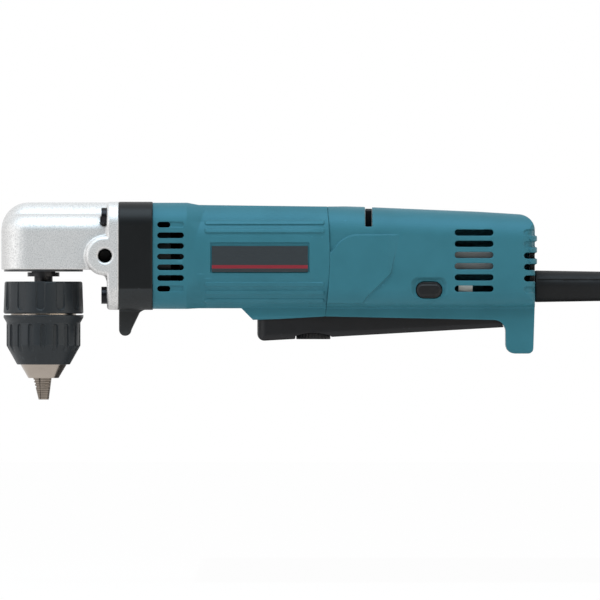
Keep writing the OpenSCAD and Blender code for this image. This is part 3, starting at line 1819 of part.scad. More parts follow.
module lock_button() {
  face = handle_half_w - 0.6;
  inner = switch_half_w + button_travel + free_gap;
  pad = [1.6, 3];
  tab = [2, 1.5];
  tab_y = handle_half_w - wall - free_gap - 1;
  color("#202022")
    union() {
      translate([0, -(face + inner) / 2, 0])
        from_side((face - inner) / 2)
          slot_outline(button_x - button_len / 2, button_x + button_len / 2, button_z, button_h);
      translate([0, -face, 0])
        from_side(0.5)
          slot_outline(
            button_x - (button_len - pad[0]) / 2, button_x + (button_len - pad[0]) / 2, button_z, button_h - pad[1]
          );
      translate([0, -tab_y + tab[1] / 2, 0])
        from_side(tab[1] / 2)
          slot_outline(
            button_x - button_len / 2 - tab[0], button_x + button_len / 2 + tab[0], button_z + tab[1],
            button_h - 2 * tab[1]
          );
    }
}

module reversing_lever() {
  color("#24302f")
    union() {
      translate([reverse_x - reverse_t / 2, 0, 0])
        along_x(0, reverse_t)
          union() {
            translate([0, reverse_pivot_z])
              circle(3);
            polygon([
              [-reverse_arm[0], reverse_pivot_z], [-reverse_arm[1], reverse_top_z - 1],
              [1 - reverse_arm[1], reverse_top_z], [reverse_arm[1] - 1, reverse_top_z],
              [reverse_arm[1], reverse_top_z - 1], [reverse_arm[0], reverse_pivot_z]
            ]);
          }
      x_cylinder(reverse_pin_r, reverse_x - reverse_slot - ear_t, reverse_x + reverse_slot + ear_t, reverse_pivot_z);
    }
}

gear_housing();
head_screws();
bearing_retainer();
spindle();
bevel_gear();
spindle_bearing();
spindle_bush();
bevel_pinion();
pinion_bearing();
spur_gear();
pinion_bush();
gear_case_collar();
bearing_plate();
armature_front_bearing();
armature_shaft();
armature_core();
armature_windings();
commutator();
fan();
armature_rear_bearing();
fan_baffle();
field_stack();
field_coils();
brush_holders();
carbon_brushes();
motor_housing();
nameplate();
handle_left();
handle_right();
handle_screws();
switch_body();
noise_suppressor();
terminal_block();
paddle();
paddle_pin();
speed_dial();
lock_button();
reversing_lever();
cord_guard();
cord_clamp();
chuck_body();
chuck_rear_sleeve();
chuck_front_sleeve();
chuck_nut();
chuck_screw();
jaw_1();
jaw_2();
jaw_3();
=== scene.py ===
"""Looks of a corded right angle drill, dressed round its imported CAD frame."""

from __future__ import annotations

import json
import logging
import math
from collections.abc import Callable
from dataclasses import dataclass
from enum import Enum

import bmesh
import bpy
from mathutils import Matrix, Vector

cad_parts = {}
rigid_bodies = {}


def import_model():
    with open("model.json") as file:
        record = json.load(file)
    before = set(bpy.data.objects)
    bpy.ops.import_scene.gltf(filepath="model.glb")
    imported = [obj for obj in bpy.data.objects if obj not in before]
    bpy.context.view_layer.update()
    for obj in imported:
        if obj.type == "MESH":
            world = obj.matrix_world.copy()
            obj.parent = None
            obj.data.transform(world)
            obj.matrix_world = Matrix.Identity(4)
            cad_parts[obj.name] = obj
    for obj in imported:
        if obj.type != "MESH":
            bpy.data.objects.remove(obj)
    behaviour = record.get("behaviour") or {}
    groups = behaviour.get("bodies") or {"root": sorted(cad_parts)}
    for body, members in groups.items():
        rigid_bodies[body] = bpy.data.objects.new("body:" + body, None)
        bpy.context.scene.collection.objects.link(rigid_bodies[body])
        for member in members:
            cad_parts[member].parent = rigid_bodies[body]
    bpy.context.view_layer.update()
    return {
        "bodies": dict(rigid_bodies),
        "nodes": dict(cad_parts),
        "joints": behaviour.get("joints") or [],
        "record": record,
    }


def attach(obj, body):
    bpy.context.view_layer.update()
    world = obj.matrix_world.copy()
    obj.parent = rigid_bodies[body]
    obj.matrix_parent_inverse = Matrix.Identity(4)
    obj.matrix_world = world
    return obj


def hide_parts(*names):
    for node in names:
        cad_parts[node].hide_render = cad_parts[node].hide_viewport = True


MM = 0.001
JOIN_DISTANCE = 0.001 * MM
WHITE = "#FFFFFF"
log = logging.getLogger("drill")


def linear(hex_code: str) -> tuple[float, float, float, float]:
    """Turn an sRGB hex value into linear RGBA.

    Args:
        hex_code: Six hex digits after a hash sign.
    Returns:
        Linear red, green and blue with an alpha of 1.
    """
    parts = [int(hex_code[i:i + 2], 16) / 255 for i in (1, 3, 5)]
    # The sRGB curve has a straight foot, and a power of 2.4 above it.
    red, green, blue = (p / 12.92 if p <= 0.04045 else ((p + 0.055) / 1.055) ** 2.4 for p in parts)
    return red, green, blue, 1.0


def add(tree: bpy.types.NodeTree, kind: str, inputs: dict | None = None,
        **settings: object) -> bpy.types.Node:
    """Add a node, set its properties, and set or link its inputs.

    Args:
        tree: Node tree that gets the node.
        kind: Type name of the node.
        inputs: Input name or number, with a value or with an output socket to link from.
        settings: Properties of the node itself.
    Returns:
        The new node.
    """
    node = tree.nodes.new(kind)
    for name, value in settings.items():
        setattr(node, name, value)
    for key, value in (inputs or {}).items():
        if isinstance(value, bpy.types.NodeSocket):
            tree.links.new(value, node.inputs[key])
        else:
            node.inputs[key].default_value = value
    return node


class Axis(Enum):
    """A direction along which the lines of a finish follow each other."""

    X = "X"
    Y = "Y"
    Z = "Z"


@dataclass(frozen=True)
class Finish:
    """A surface finish: what all of them share."""

    name: str
    color: str
    roughness: float = 0.5
    metallic: float = 0.0
    ior: float = 1.5
    coat: float = 0.0
    specular: float = 0.5
    gleam: str = WHITE

    def start(self) -> tuple[bpy.types.Material, bpy.types.NodeTree, bpy.types.Node, bpy.types.NodeSocket]:
        """Make an empty material with its shader.

        Returns:
            The material, its tree, its shader and the coordinates of the object in metres.
        """
        material = bpy.data.materials.new(self.name)
        material.use_nodes = True
        tree = material.node_tree
        tree.nodes.clear()
        shader = add(tree, "ShaderNodeBsdfPrincipled", {
            "Base Color": linear(self.color), "Roughness": self.roughness, "Metallic": self.metallic})
        if not self.metallic:
            shader.inputs["IOR"].default_value = self.ior
            shader.inputs["Specular IOR Level"].default_value = self.specular
            # A gleam other than white tints the reflections, which paints light of that colour.
            shader.inputs["Specular Tint"].default_value = linear(self.gleam)
        if self.coat:
            shader.inputs["Coat Weight"].default_value = self.coat
        add(tree, "ShaderNodeOutputMaterial", {"Surface": shader.outputs["BSDF"]})
        place = add(tree, "ShaderNodeTexCoord").outputs["Object"]
        return material, tree, shader, place

    def two_tone(self, tree: bpy.types.NodeTree, pattern: bpy.types.NodeSocket, dark: str,
                 low: float, high: float) -> bpy.types.NodeSocket:
        """Change from a dark tone to the finish's own colour as a pattern rises.

        Args:
            tree: Node tree of the material.
            pattern: The pattern, from 0 to 1.
            dark: Tone of its low spots.
            low: Level up to which the dark tone holds.
            high: Level from which the finish's colour holds.
        Returns:
            The colour.
        """
        share = add(tree, "ShaderNodeMapRange", {"Value": pattern, "From Min": low, "From Max": high})
        mixed = add(tree, "ShaderNodeMix", {
            0: share.outputs["Result"], "A": linear(dark), "B": linear(self.color)}, data_type="RGBA")
        return mixed.outputs[2]

    def relief(self, tree: bpy.types.NodeTree, shader: bpy.types.Node, pattern: bpy.types.NodeSocket,
               strength: float, depth_mm: float, swing: float = 0.0) -> None:
        """Raise a fine relief from a pattern, and let the gloss change with it.

        Args:
            tree: Node tree of the material.
            shader: Its shader.
            pattern: The pattern, from 0 to 1.
            strength: Strength of the relief.
            depth_mm: Height of the relief.
            swing: How much rougher the high spots are, and smoother the low ones.
        """
        if swing:
            rough = add(tree, "ShaderNodeMapRange", {
                "Value": pattern, "From Min": 0.3, "From Max": 0.7,
                "To Min": self.roughness - swing, "To Max": self.roughness + swing})
            tree.links.new(rough.outputs["Result"], shader.inputs["Roughness"])
        bump = add(tree, "ShaderNodeBump", {
            "Height": pattern, "Strength": strength, "Distance": depth_mm * MM})
        tree.links.new(bump.outputs["Normal"], shader.inputs["Normal"])


@dataclass(frozen=True)
class MouldedPlastic(Finish):
    """Plastic from a spark eroded mould: a fine even grain breaks up the gloss, and a painted highlight
    makes convex edges paler.

    The real grain is about 0.1 mm and too fine to show, so it is drawn grain_mm wide.
    """

    shade: str = "#000000"
    edge_glint: str = "#808080"
    mottle_mm: float = 18.0
    grain_mm: float = 0.55
    grain_depth_mm: float = 0.02
    gloss_swing: float = 0.07
    edge_share: float = 0.35
    edge_range: tuple[float, float] = (0.55, 0.65)

    def build(self) -> bpy.types.Material:
        """Make the grain, a slow change of tone and a painted highlight on convex edges."""
        material, tree, shader, place = self.start()
        slow = add(tree, "ShaderNodeTexNoise", {
            "Vector": place, "Scale": 1 / (self.mottle_mm * MM), "Detail": 3.0})
        fine = add(tree, "ShaderNodeTexNoise", {
            "Vector": place, "Scale": 1 / (self.grain_mm * MM), "Detail": 2.0, "Roughness": 0.6})
        tone = self.two_tone(tree, slow.outputs["Fac"], self.shade, 0.25, 0.6)
        # Painted highlight: faces at convex edges, found by pointiness, are mixed towards the paler edge
        # colour.
        edge = add(tree, "ShaderNodeMapRange", {
            "Value": add(tree, "ShaderNodeNewGeometry").outputs["Pointiness"],
            "From Min": self.edge_range[0], "From Max": self.edge_range[1], "To Max": self.edge_share})
        mixed = add(tree, "ShaderNodeMix", {
            0: edge.outputs["Result"], "A": tone, "B": linear(self.edge_glint)}, data_type="RGBA")
        tree.links.new(mixed.outputs[2], shader.inputs["Base Color"])
        self.relief(tree, shader, fine.outputs["Fac"], 0.5, self.grain_depth_mm, self.gloss_swing)
        return material


@dataclass(frozen=True)
class CastAluminium(Finish):
    """Die cast aluminium, shot blasted: a pale grey metal with a fine sparkle of grains.

    Blasting leaves dents of about 0.2 mm, too fine to show, so they are drawn grain_mm wide.
    """

    dark: str = "#9A9A9C"
    grain_mm: float = 0.45
    grain_depth_mm: float = 0.02
    gloss_swing: float = -0.08

    def build(self) -> bpy.types.Material:
        """Make the blasted grain and its sparkle."""
        material, tree, shader, place = self.start()
        fine = add(tree, "ShaderNodeTexNoise", {
            "Vector": place, "Scale": 1 / (self.grain_mm * MM), "Detail": 3.0, "Roughness": 0.7})
        tone = self.two_tone(tree, fine.outputs["Fac"], self.dark, 0.25, 0.6)
        tree.links.new(tone, shader.inputs["Base Color"])
        self.relief(tree, shader, fine.outputs["Fac"], 0.6, self.grain_depth_mm, self.gloss_swing)
        return material


@dataclass(frozen=True)
class LinedMetal(Finish):
    """Metal with fine parallel lines, as turning, grinding, stacked sheet or wound wire leaves.

    Turned and ground lines are about 0.1 mm apart and too fine to show, so they are drawn pitch_mm
    apart. Sheet, wire and thread have their real pitch.
    """

    dark: str = "#555555"
    axis: Axis = Axis.Z
    pitch_mm: float = 0.45
    depth_mm: float = 0.02
    blotch_mm: float = 6.0
    blotch_lift: float = 0.15

    def build(self) -> bpy.types.Material:
        """Make the lines across the chosen axis, with a little waver along them."""
        material, tree, shader, place = self.start()
        # At a scale of 1 the wave turns through 20 radians in each metre.
        lines = add(tree, "ShaderNodeTexWave", {
            "Vector": place, "Scale": math.tau / (20 * self.pitch_mm * MM), "Distortion": 0.6,
            "Detail": 2.0, "Detail Scale": 1.5}, bands_direction=self.axis.value)
        blotch = add(tree, "ShaderNodeTexNoise", {
            "Vector": place, "Scale": 1 / (self.blotch_mm * MM), "Detail": 4.0})
        both = add(tree, "ShaderNodeMath", {
            0: lines.outputs["Fac"], 1: blotch.outputs["Fac"], 2: self.blotch_lift},
            operation="MULTIPLY_ADD")
        tone = self.two_tone(tree, both.outputs["Value"], self.dark, 0.15, 0.6)
        tree.links.new(tone, shader.inputs["Base Color"])
        self.relief(tree, shader, lines.outputs["Fac"], 0.5, self.depth_mm)
        return material


@dataclass(frozen=True)
class StripedPlate(Finish):
    """Lacquered aluminium plate: satin dark grey with one red stripe near its lower edge.

    Brushing leaves lines closer than 0.1 mm. They are drawn about twice as far apart, so that they show.
    """

    shade: str = "#292E31"
    stripe: str = "#84202B"
    stripe_low_mm: float = 65.45
    stripe_high_mm: float = 67.15
    brush_mm: float = 2.5
    brush_stretch: float = 12.0
    brush_depth_mm: float = 0.01

    def build(self) -> bpy.types.Material:
        """Make the stripe by height, with a brushed base below the lacquer."""
        material, tree, shader, place = self.start()
        height = add(tree, "ShaderNodeSeparateXYZ", {"Vector": place}).outputs["Z"]
        middle = (self.stripe_low_mm + self.stripe_high_mm) / 2 * MM
        half = (self.stripe_high_mm - self.stripe_low_mm) / 2 * MM
        inside = add(tree, "ShaderNodeMath", {0: height, 1: middle, 2: half}, operation="COMPARE")
        along = add(tree, "ShaderNodeMapping", {"Vector": place, "Scale": (1.0, 1.0, self.brush_stretch)})
        brushed = add(tree, "ShaderNodeTexNoise", {
            "Vector": along.outputs[0], "Scale": 1 / (self.brush_mm * MM), "Detail": 3.0})
        ground = self.two_tone(tree, brushed.outputs["Fac"], self.shade, 0.3, 0.7)
        mixed = add(tree, "ShaderNodeMix", {
            0: inside.outputs["Value"], "A": ground, "B": linear(self.stripe)}, data_type="RGBA")
        tree.links.new(mixed.outputs[2], shader.inputs["Base Color"])
        self.relief(tree, shader, brushed.outputs["Fac"], 0.3, self.brush_depth_mm)
        return material


class Surface(Enum):
    """The finishes of the drill, each with what the real surface is."""

    # Blasted casting: pale silver, matt, with a fine sparkle.
    CASTING = CastAluminium("blasted_cast_aluminium", "#E6E5E4", roughness=0.54, metallic=1.0,
                            dark="#B4B4B3", grain_mm=0.6)
    # Glass filled nylon of the housings: teal, with its gloss tinted blue as painted light from above, and
    # a painted highlight on its edges.
    GRIP = MouldedPlastic("teal_moulded_nylon", "#386E78", roughness=0.46, gleam="#8CCBF2",
                          shade="#346871", edge_glint="#5A9DAE", edge_share=0.25)
    # Nylon of the gear case from a smoother mould: near black, with a low satin gloss.
    COLLAR = MouldedPlastic("black_moulded_nylon", "#0F1112", roughness=0.42, specular=0.25,
                            shade="#0C0E0F", edge_glint="#2A2B2D")
    # The same nylon, painted greyer on the collar's lower facet as painted light from the floor below, and
    # duller.
    TEXTURED = MouldedPlastic("black_nylon_painted_floor_light", "#222425", roughness=0.6, specular=0.4,
                              shade="#1E2021", edge_glint="#3A3B3D", grain_mm=0.8)
    # Acetal controls: black, with the waxy gloss of a slippery plastic.
    LEVER = MouldedPlastic("black_moulded_acetal", "#161618", roughness=0.42, specular=0.3,
                           shade="#121214", edge_glint="#333437")
    # Nylon sleeves of the chuck: charcoal, with a painted highlight that makes the edges of the flutes
    # paler.
    SLEEVE = MouldedPlastic("charcoal_sleeve_nylon", "#24282B", roughness=0.42, specular=0.35,
                            shade="#1F2326", edge_glint="#5C6164", edge_share=0.25)
    # Urea terminal block: ivory, hard and clean.
    PALE = MouldedPlastic("ivory_moulded_urea", "#E4E4E0", roughness=0.4, shade="#D8D8D2",
                          edge_glint="#EEEEEA")
    # Moulded case of the suppressor: plain mid grey.
    CASE = MouldedPlastic("grey_moulded_case", "#8C8D8F", roughness=0.45, shade="#808183",
                          edge_glint="#A0A1A3")
    # Rubber cord guard: black and dull, with hardly any gloss.
    RUBBER = MouldedPlastic("black_moulded_rubber", "#171718", specular=0.2, shade="#131314",
                            edge_glint="#38383A", grain_mm=0.8)
    # Turned chuck steel: bright and warm, with fine rings.
    STEEL = LinedMetal("turned_chuck_steel", "#B2A89E", roughness=0.2, metallic=1.0, dark="#9A9086")
    # Ground jaws: a browner steel with strong dark lines.
    JAW = LinedMetal("ground_jaw_steel", "#93897F", roughness=0.32, metallic=1.0, dark="#5E564E",
                     pitch_mm=0.9)
    # Hardened gears and spindle: dark grey, with an oily sheen.
    DARK_STEEL = LinedMetal("blackened_steel", "#4A4A4C", roughness=0.38, metallic=1.0, dark="#2C2C2E")
    # Tapped M8 socket: near black as painted shade deep in the hole, so that only its turns catch light.
    THREAD = LinedMetal("tapped_thread_painted_shade", "#151516", dark="#060606", axis=Axis.Y, pitch_mm=1.25)
    # Black oxide on the screws: a deep grey metal with turned rings.
    SCREW = LinedMetal("black_oxide_screw", "#38383B", roughness=0.35, metallic=1.0, dark="#1C1C1E",
                       axis=Axis.X)
    # Enamel on the steel retainer: black under a thin clear gloss.
    RETAINER = MouldedPlastic("black_enamelled_steel", "#29292B", roughness=0.4, coat=0.2,
                              shade="#232325", edge_glint="#4D4D50")
    # Ground bearing rings: bright, cool steel.
    RACE = LinedMetal("ground_bearing_steel", "#B8BABD", roughness=0.25, metallic=1.0, dark="#8C8E92",
                      axis=Axis.X)
    # Sintered bushes: dull gold.
    BRONZE = LinedMetal("sintered_bronze", "#B88E4C", roughness=0.4, metallic=1.0, dark="#8A6A38",
                        axis=Axis.X)
    # Stacked electrical sheet: grey, with one line for each sheet.
    SHEETS = LinedMetal("stacked_electrical_sheet", "#7A7C7F", roughness=0.45, metallic=1.0,
                        dark="#4B4D50", axis=Axis.X, pitch_mm=0.5)
    # Enamelled copper wire: red brown turns under clear enamel.
    COPPER = LinedMetal("enamelled_copper_wire", "#B5652A", roughness=0.35, metallic=1.0,
                        dark="#6E3A16", axis=Axis.X, pitch_mm=0.8)
    # Pressed carbon brushes: soft black without gloss.
    CARBON = MouldedPlastic("pressed_carbon", "#2C2C2E", roughness=0.6, shade="#222224", edge_glint="#3C3C3E")
    # Lacquered nameplate: dark satin grey, bare but for its stripe.
    PLATE = StripedPlate("lacquered_plate", "#2F3437", roughness=0.4, specular=0.4)

    def material(self) -> bpy.types.Material:
        """Give the finish's material, made at its first use."""
        found = bpy.data.materials.get(self.value.name)
        return found or self.value.build()


@dataclass(frozen=True)
class Lamp:
    """A soft box of the studio, aimed at the middle of the tool."""

    name: str
    place: tuple[float, float, float]
    size: tuple[float, float]
    watts: float
    color: tuple[float, float, float]


@dataclass
class Studio:
    """Camera, lamps, floor and backdrop of the product picture."""

    middle: Vector = Vector((128.25, 0.0, 49.75)) * MM
    distance: float = 8.0
    view_width: float = 0.3
    sensor_mm: float = 36.0
    clip_end: float = 50.0
    world_light: float = 0.63
    floor_drop: float = 0.092
    floor_half: float = 6.0
    paper: str = "#F1F1F1"
    paper_glow: float = 0.98
    card: str = "#202022"
    card_size: tuple[float, float] = (4.4, 2.6)
    card_y: float = -2.0
    low_card: tuple[float, float, float, float] = (0.075, 0.03, 0.5, 0.8)
    low_card_lift: float = 2.0 * MM
    lamps: tuple[Lamp, ...] = (
        Lamp("soft_box_above", (0.10, -0.55, 1.15), (1.4, 0.9), 12.5, (0.66, 0.86, 1.0)),
        Lamp("cool_strip", (0.12, -1.2, 0.72), (1.8, 0.35), 0.7, (0.5, 0.8, 1.0)),
        Lamp("soft_box_left", (-1.35, -1.0, 0.35), (1.6, 1.4), 8.0, (1.0, 1.0, 1.0)),
        Lamp("low_fill", (0.75, -0.65, -0.02), (1.2, 0.12), 1.2, (1.0, 0.9, 0.75)),
    )

    def build(self) -> None:
        """Set up the picture."""
        scene = bpy.context.scene
        scene.view_settings.view_transform = "Standard"
        self.add_camera(scene)
        self.add_lamps(scene)
        self.add_world(scene)
        self.add_floor()
        self.add_cards()

    def add_camera(self, scene: bpy.types.Scene) -> None:
        """Stand the camera square to the left side of the tool, with a long lens.

        Args:
            scene: Scene that takes the camera.
        """
        data = bpy.data.cameras.new("product_camera")
        data.sensor_width = self.sensor_mm
        data.lens = self.sensor_mm * self.distance / self.view_width
        data.clip_end = self.clip_end
        camera = bpy.data.objects.new("product_camera", data)
        camera.location = self.middle - Vector((0.0, self.distance, 0.0))
        camera.rotation_euler = (math.pi / 2, 0.0, 0.0)
        scene.collection.objects.link(camera)
        scene.camera = camera

    def add_lamps(self, scene: bpy.types.Scene) -> None:
        """Light the tool from above, from the front left, with a cool strip and with a warm low fill.

        Args:
            scene: Scene that takes the lamps.
        """
        for lamp in self.lamps:
            data = bpy.data.lights.new(lamp.name, "AREA")
            data.shape = "RECTANGLE"
            data.size, data.size_y = lamp.size
            data.energy = lamp.watts
            data.color = lamp.color
            box = bpy.data.objects.new(lamp.name, data)
            box.location = lamp.place
            box.visible_camera = False
            aim = self.middle - Vector(lamp.place)
            box.rotation_euler = aim.to_track_quat("-Z", "Y").to_euler()
            scene.collection.objects.link(box)

    def seen(self, tree: bpy.types.NodeTree) -> bpy.types.NodeSocket:
        """Find the rays that show the background to the camera, plainly or in a reflection.

        Args:
            tree: Node tree that asks.
        Returns:
            A factor of 1 on such rays.
        """
        path = add(tree, "ShaderNodeLightPath").outputs
        glossy = add(tree, "ShaderNodeMath", {
            0: path["Is Camera Ray"], 1: path["Is Glossy Ray"]}, operation="MAXIMUM")
        return add(tree, "ShaderNodeMath", {
            0: glossy.outputs[0], 1: path["Is Transmission Ray"]}, operation="MAXIMUM").outputs[0]

    def add_world(self, scene: bpy.types.Scene) -> None:
        """Light the tool evenly with a grey world that the camera sees as white.

        Args:
            scene: Scene that takes the world.
        """
        world = bpy.data.worlds.new("studio_world")
        scene.world = world
        world.use_nodes = True
        tree = world.node_tree
        tree.nodes.clear()
        lit = add(tree, "ShaderNodeBackground", {"Color": linear(WHITE), "Strength": self.world_light})
        shown = add(tree, "ShaderNodeBackground", {"Color": linear(WHITE), "Strength": 1.0})
        mixed = add(tree, "ShaderNodeMixShader", {
            0: self.seen(tree), 1: lit.outputs[0], 2: shown.outputs[0]})
        add(tree, "ShaderNodeOutputWorld", {"Surface": mixed.outputs[0]})

    def add_floor(self) -> None:
        """Lay a pale floor below the tool, which the camera sees as white paper with a soft shadow."""
        material = bpy.data.materials.new("white_paper")
        material.use_nodes = True
        tree = material.node_tree
        tree.nodes.clear()
        paper = add(tree, "ShaderNodeBsdfDiffuse", {"Color": linear(self.paper)})
        glow = add(tree, "ShaderNodeEmission", {"Color": linear(WHITE), "Strength": 1.0})
        share = add(tree, "ShaderNodeMath", {0: self.seen(tree), 1: self.paper_glow}, operation="MULTIPLY")
        mixed = add(tree, "ShaderNodeMixShader", {
            0: share.outputs[0], 1: paper.outputs[0], 2: glow.outputs[0]})
        add(tree, "ShaderNodeOutputMaterial", {"Surface": mixed.outputs[0]})
        half = self.floor_half
        corners = [(-half, -half), (half, -half), (half, half), (-half, half)]
        self.add_panel("paper_floor", [(x, y, -self.floor_drop) for x, y in corners], material)

    def add_cards(self) -> None:
        """Stand a dark card before the tool, which flat sides mirror, and lay one behind the chuck.

        The camera sees through both.
        """
        material = bpy.data.materials.new("black_card")
        material.use_nodes = True
        material.node_tree.nodes["Principled BSDF"].inputs["Base Color"].default_value = linear(self.card)
        width, height = self.card_size
        left, low = self.middle.x - width / 2, self.middle.z - height / 2
        right, top, y = left + width, low + height, self.card_y
        corners = [(left, y, low), (left, y, top), (right, y, top), (right, y, low)]
        self.add_panel("black_card", corners, material).visible_camera = False
        x0, y0, x1, y1 = self.low_card
        z = self.low_card_lift - self.floor_drop
        corners = [(x0, y0, z), (x1, y0, z), (x1, y1, z), (x0, y1, z)]
        self.add_panel("low_black_card", corners, material).visible_camera = False

    def add_panel(self, name: str, corners: list[tuple[float, float, float]],
                  material: bpy.types.Material) -> bpy.types.Object:
        """Set up a flat panel of the studio.

        Args:
            name: Name of the panel.
            corners: Its four corners.
            material: Its surface.
        Returns:
            The panel.
        """
        mesh = bpy.data.meshes.new(name)
        mesh.from_pydata(corners, [], [(0, 1, 2, 3)])
        mesh.materials.append(material)
        panel = bpy.data.objects.new(name, mesh)
        bpy.context.scene.collection.objects.link(panel)
        return panel


@dataclass(frozen=True)
class Skin:
    """How the softened copy of a node is drawn: its fineness, its smoothing and the faces it keeps."""

    voxel_mm: float
    passes: int
    share: float = 0.35
    pull: float = 0.5


@dataclass
class Assembly:
    """A sub-assembly of the drill: dresses its CAD nodes and stands finer pieces in for them."""

    frame: dict

    def body_of(self, node: str) -> str:
        """Name the body that a node rides on.

        Args:
            node: Name of a CAD node.
        Returns:
            The body's name.
        """
        bodies = self.frame["record"]["behaviour"]["bodies"]
        return next(name for name, nodes in bodies.items() if node in nodes)

    def dress(self, surface: Surface, *nodes: str) -> None:
        """Give CAD nodes a finish.

        Args:
            surface: The finish.
            nodes: Names of the nodes.
        """
        for node in nodes:
            mesh = self.frame["nodes"][node].data
            mesh.materials.clear()
            mesh.materials.append(surface.material())
            log.info("dressed %s", node)

    def keep(self, piece: bpy.types.Object, node: str, surface: Surface) -> None:
        """Stand a new piece in for a node, on its body and a finish.

        Args:
            piece: The new piece, in its place.
            node: Node that it stands for.
            surface: Its finish.
        """
        piece.data.materials.clear()
        piece.data.materials.append(surface.material())
        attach(piece, self.body_of(node))
        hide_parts(node)
        log.info("made %s with %d faces", piece.name, len(piece.data.polygons))

    def coat(self, piece: bpy.types.Object, surface: Surface,
             chosen: Callable[[bpy.types.MeshPolygon], bool]) -> None:
        """Give some faces of a piece a second finish.

        Args:
            piece: The piece.
            surface: The second finish.
            chosen: Says whether a face takes it.
        """
        piece.data.materials.append(surface.material())
        for face in piece.data.polygons:
            if chosen(face):
                face.material_index = 1

    def copy_of(self, node: str, name: str) -> bpy.types.Object:
        """Copy a node's mesh into a new piece, with its split corners joined.

        Args:
            node: Name of the CAD node.
            name: Name of the new piece.
        Returns:
            The piece, not yet on a body.
        """
        mesh = self.frame["nodes"][node].data.copy()
        shape = bmesh.new()
        shape.from_mesh(mesh)
        bmesh.ops.remove_doubles(shape, verts=shape.verts, dist=JOIN_DISTANCE)
        shape.to_mesh(mesh)
        shape.free()
        piece = bpy.data.objects.new(name, mesh)
        bpy.context.scene.collection.objects.link(piece)
        return piece

    def apply(self, piece: bpy.types.Object) -> None:
        """Turn the result of a piece's modifiers into its mesh.

        Args:
            piece: The piece.
        """
        graph = bpy.context.evaluated_depsgraph_get()
        baked = bpy.data.meshes.new_from_object(piece.evaluated_get(graph))
        piece.modifiers.clear()
        piece.data = baked

    def soften(self, node: str, surface: Surface, drawn: Skin,
               bend: Callable[[Vector], Vector] | None = None) -> bpy.types.Object:
        """Stand a copy with rounded edges in for a node, as a moulded or cast piece has.

        Args:
            node: Name of the CAD node.
            surface: Its finish.
            drawn: How its new skin is drawn.
            bend: Moves each point of the skin to its final place.
        Returns:
            The new piece.
        """
        piece = self.copy_of(node, f"{node}_shell")
        skin = piece.modifiers.new("skin", "REMESH")
        skin.mode = "VOXEL"
        skin.voxel_size = drawn.voxel_mm * MM
        skin.use_smooth_shade = True
        relax = piece.modifiers.new("relax", "SMOOTH")
        relax.factor = drawn.pull
        relax.iterations = drawn.passes
        if bend:
            self.apply(piece)
            for corner in piece.data.vertices:
                corner.co = bend(corner.co)
        thin = piece.modifiers.new("thin", "DECIMATE")
        thin.ratio = drawn.share
        self.apply(piece)
        for face in piece.data.polygons:
            face.use_smooth = True
        self.keep(piece, node, surface)
        return piece


@dataclass
class AngleHead(Assembly):
    """Cast head with its screws, retainer, bearings and gears."""

    casting_skin: Skin = Skin(0.4, 4)
    socket: tuple[float, float] = (31.0 * MM, 71.8 * MM)
    socket_r: float = 3.45 * MM
    socket_mouth_y: float = 26.3 * MM

    def build(self) -> None:
        """Make the casting and dress what it carries."""
        casting = self.soften("gear_housing", Surface.CASTING, self.casting_skin)
        # Painted shade: the faces inside the two tapped sockets take the near black finish.
        self.coat(casting, Surface.THREAD, self.in_shaded_socket)
        self.dress(Surface.SCREW, "head_screws")
        self.dress(Surface.RETAINER, "bearing_retainer")
        self.dress(Surface.DARK_STEEL, "spindle", "bevel_gear", "bevel_pinion", "spur_gear")
        self.dress(Surface.RACE, "spindle_bearing", "pinion_bearing")
        self.dress(Surface.BRONZE, "spindle_bush", "pinion_bush")

    def in_shaded_socket(self, face: bpy.types.MeshPolygon) -> bool:
        """Tell whether a face of the casting lies in one of the two tapped side grip sockets."""
        away = math.hypot(face.center.x - self.socket[0], face.center.z - self.socket[1])
        return away < self.socket_r and abs(face.center.y) < self.socket_mouth_y


@dataclass
class KeylessChuck(Assembly):
    """Chuck with two plastic sleeves, a steel nose and three jaws."""

    sleeve_skin: Skin = Skin(0.25, 3)

    def build(self) -> None:
        """Make the sleeves and dress the steel."""
        for node in ("chuck_rear_sleeve", "chuck_front_sleeve"):
            self.soften(node, Surface.SLEEVE, self.sleeve_skin)
        self.dress(Surface.STEEL, "chuck_body")
        self.dress(Surface.JAW, "jaw_1", "jaw_2", "jaw_3")
        self.dress(Surface.DARK_STEEL, "chuck_nut", "chuck_screw")


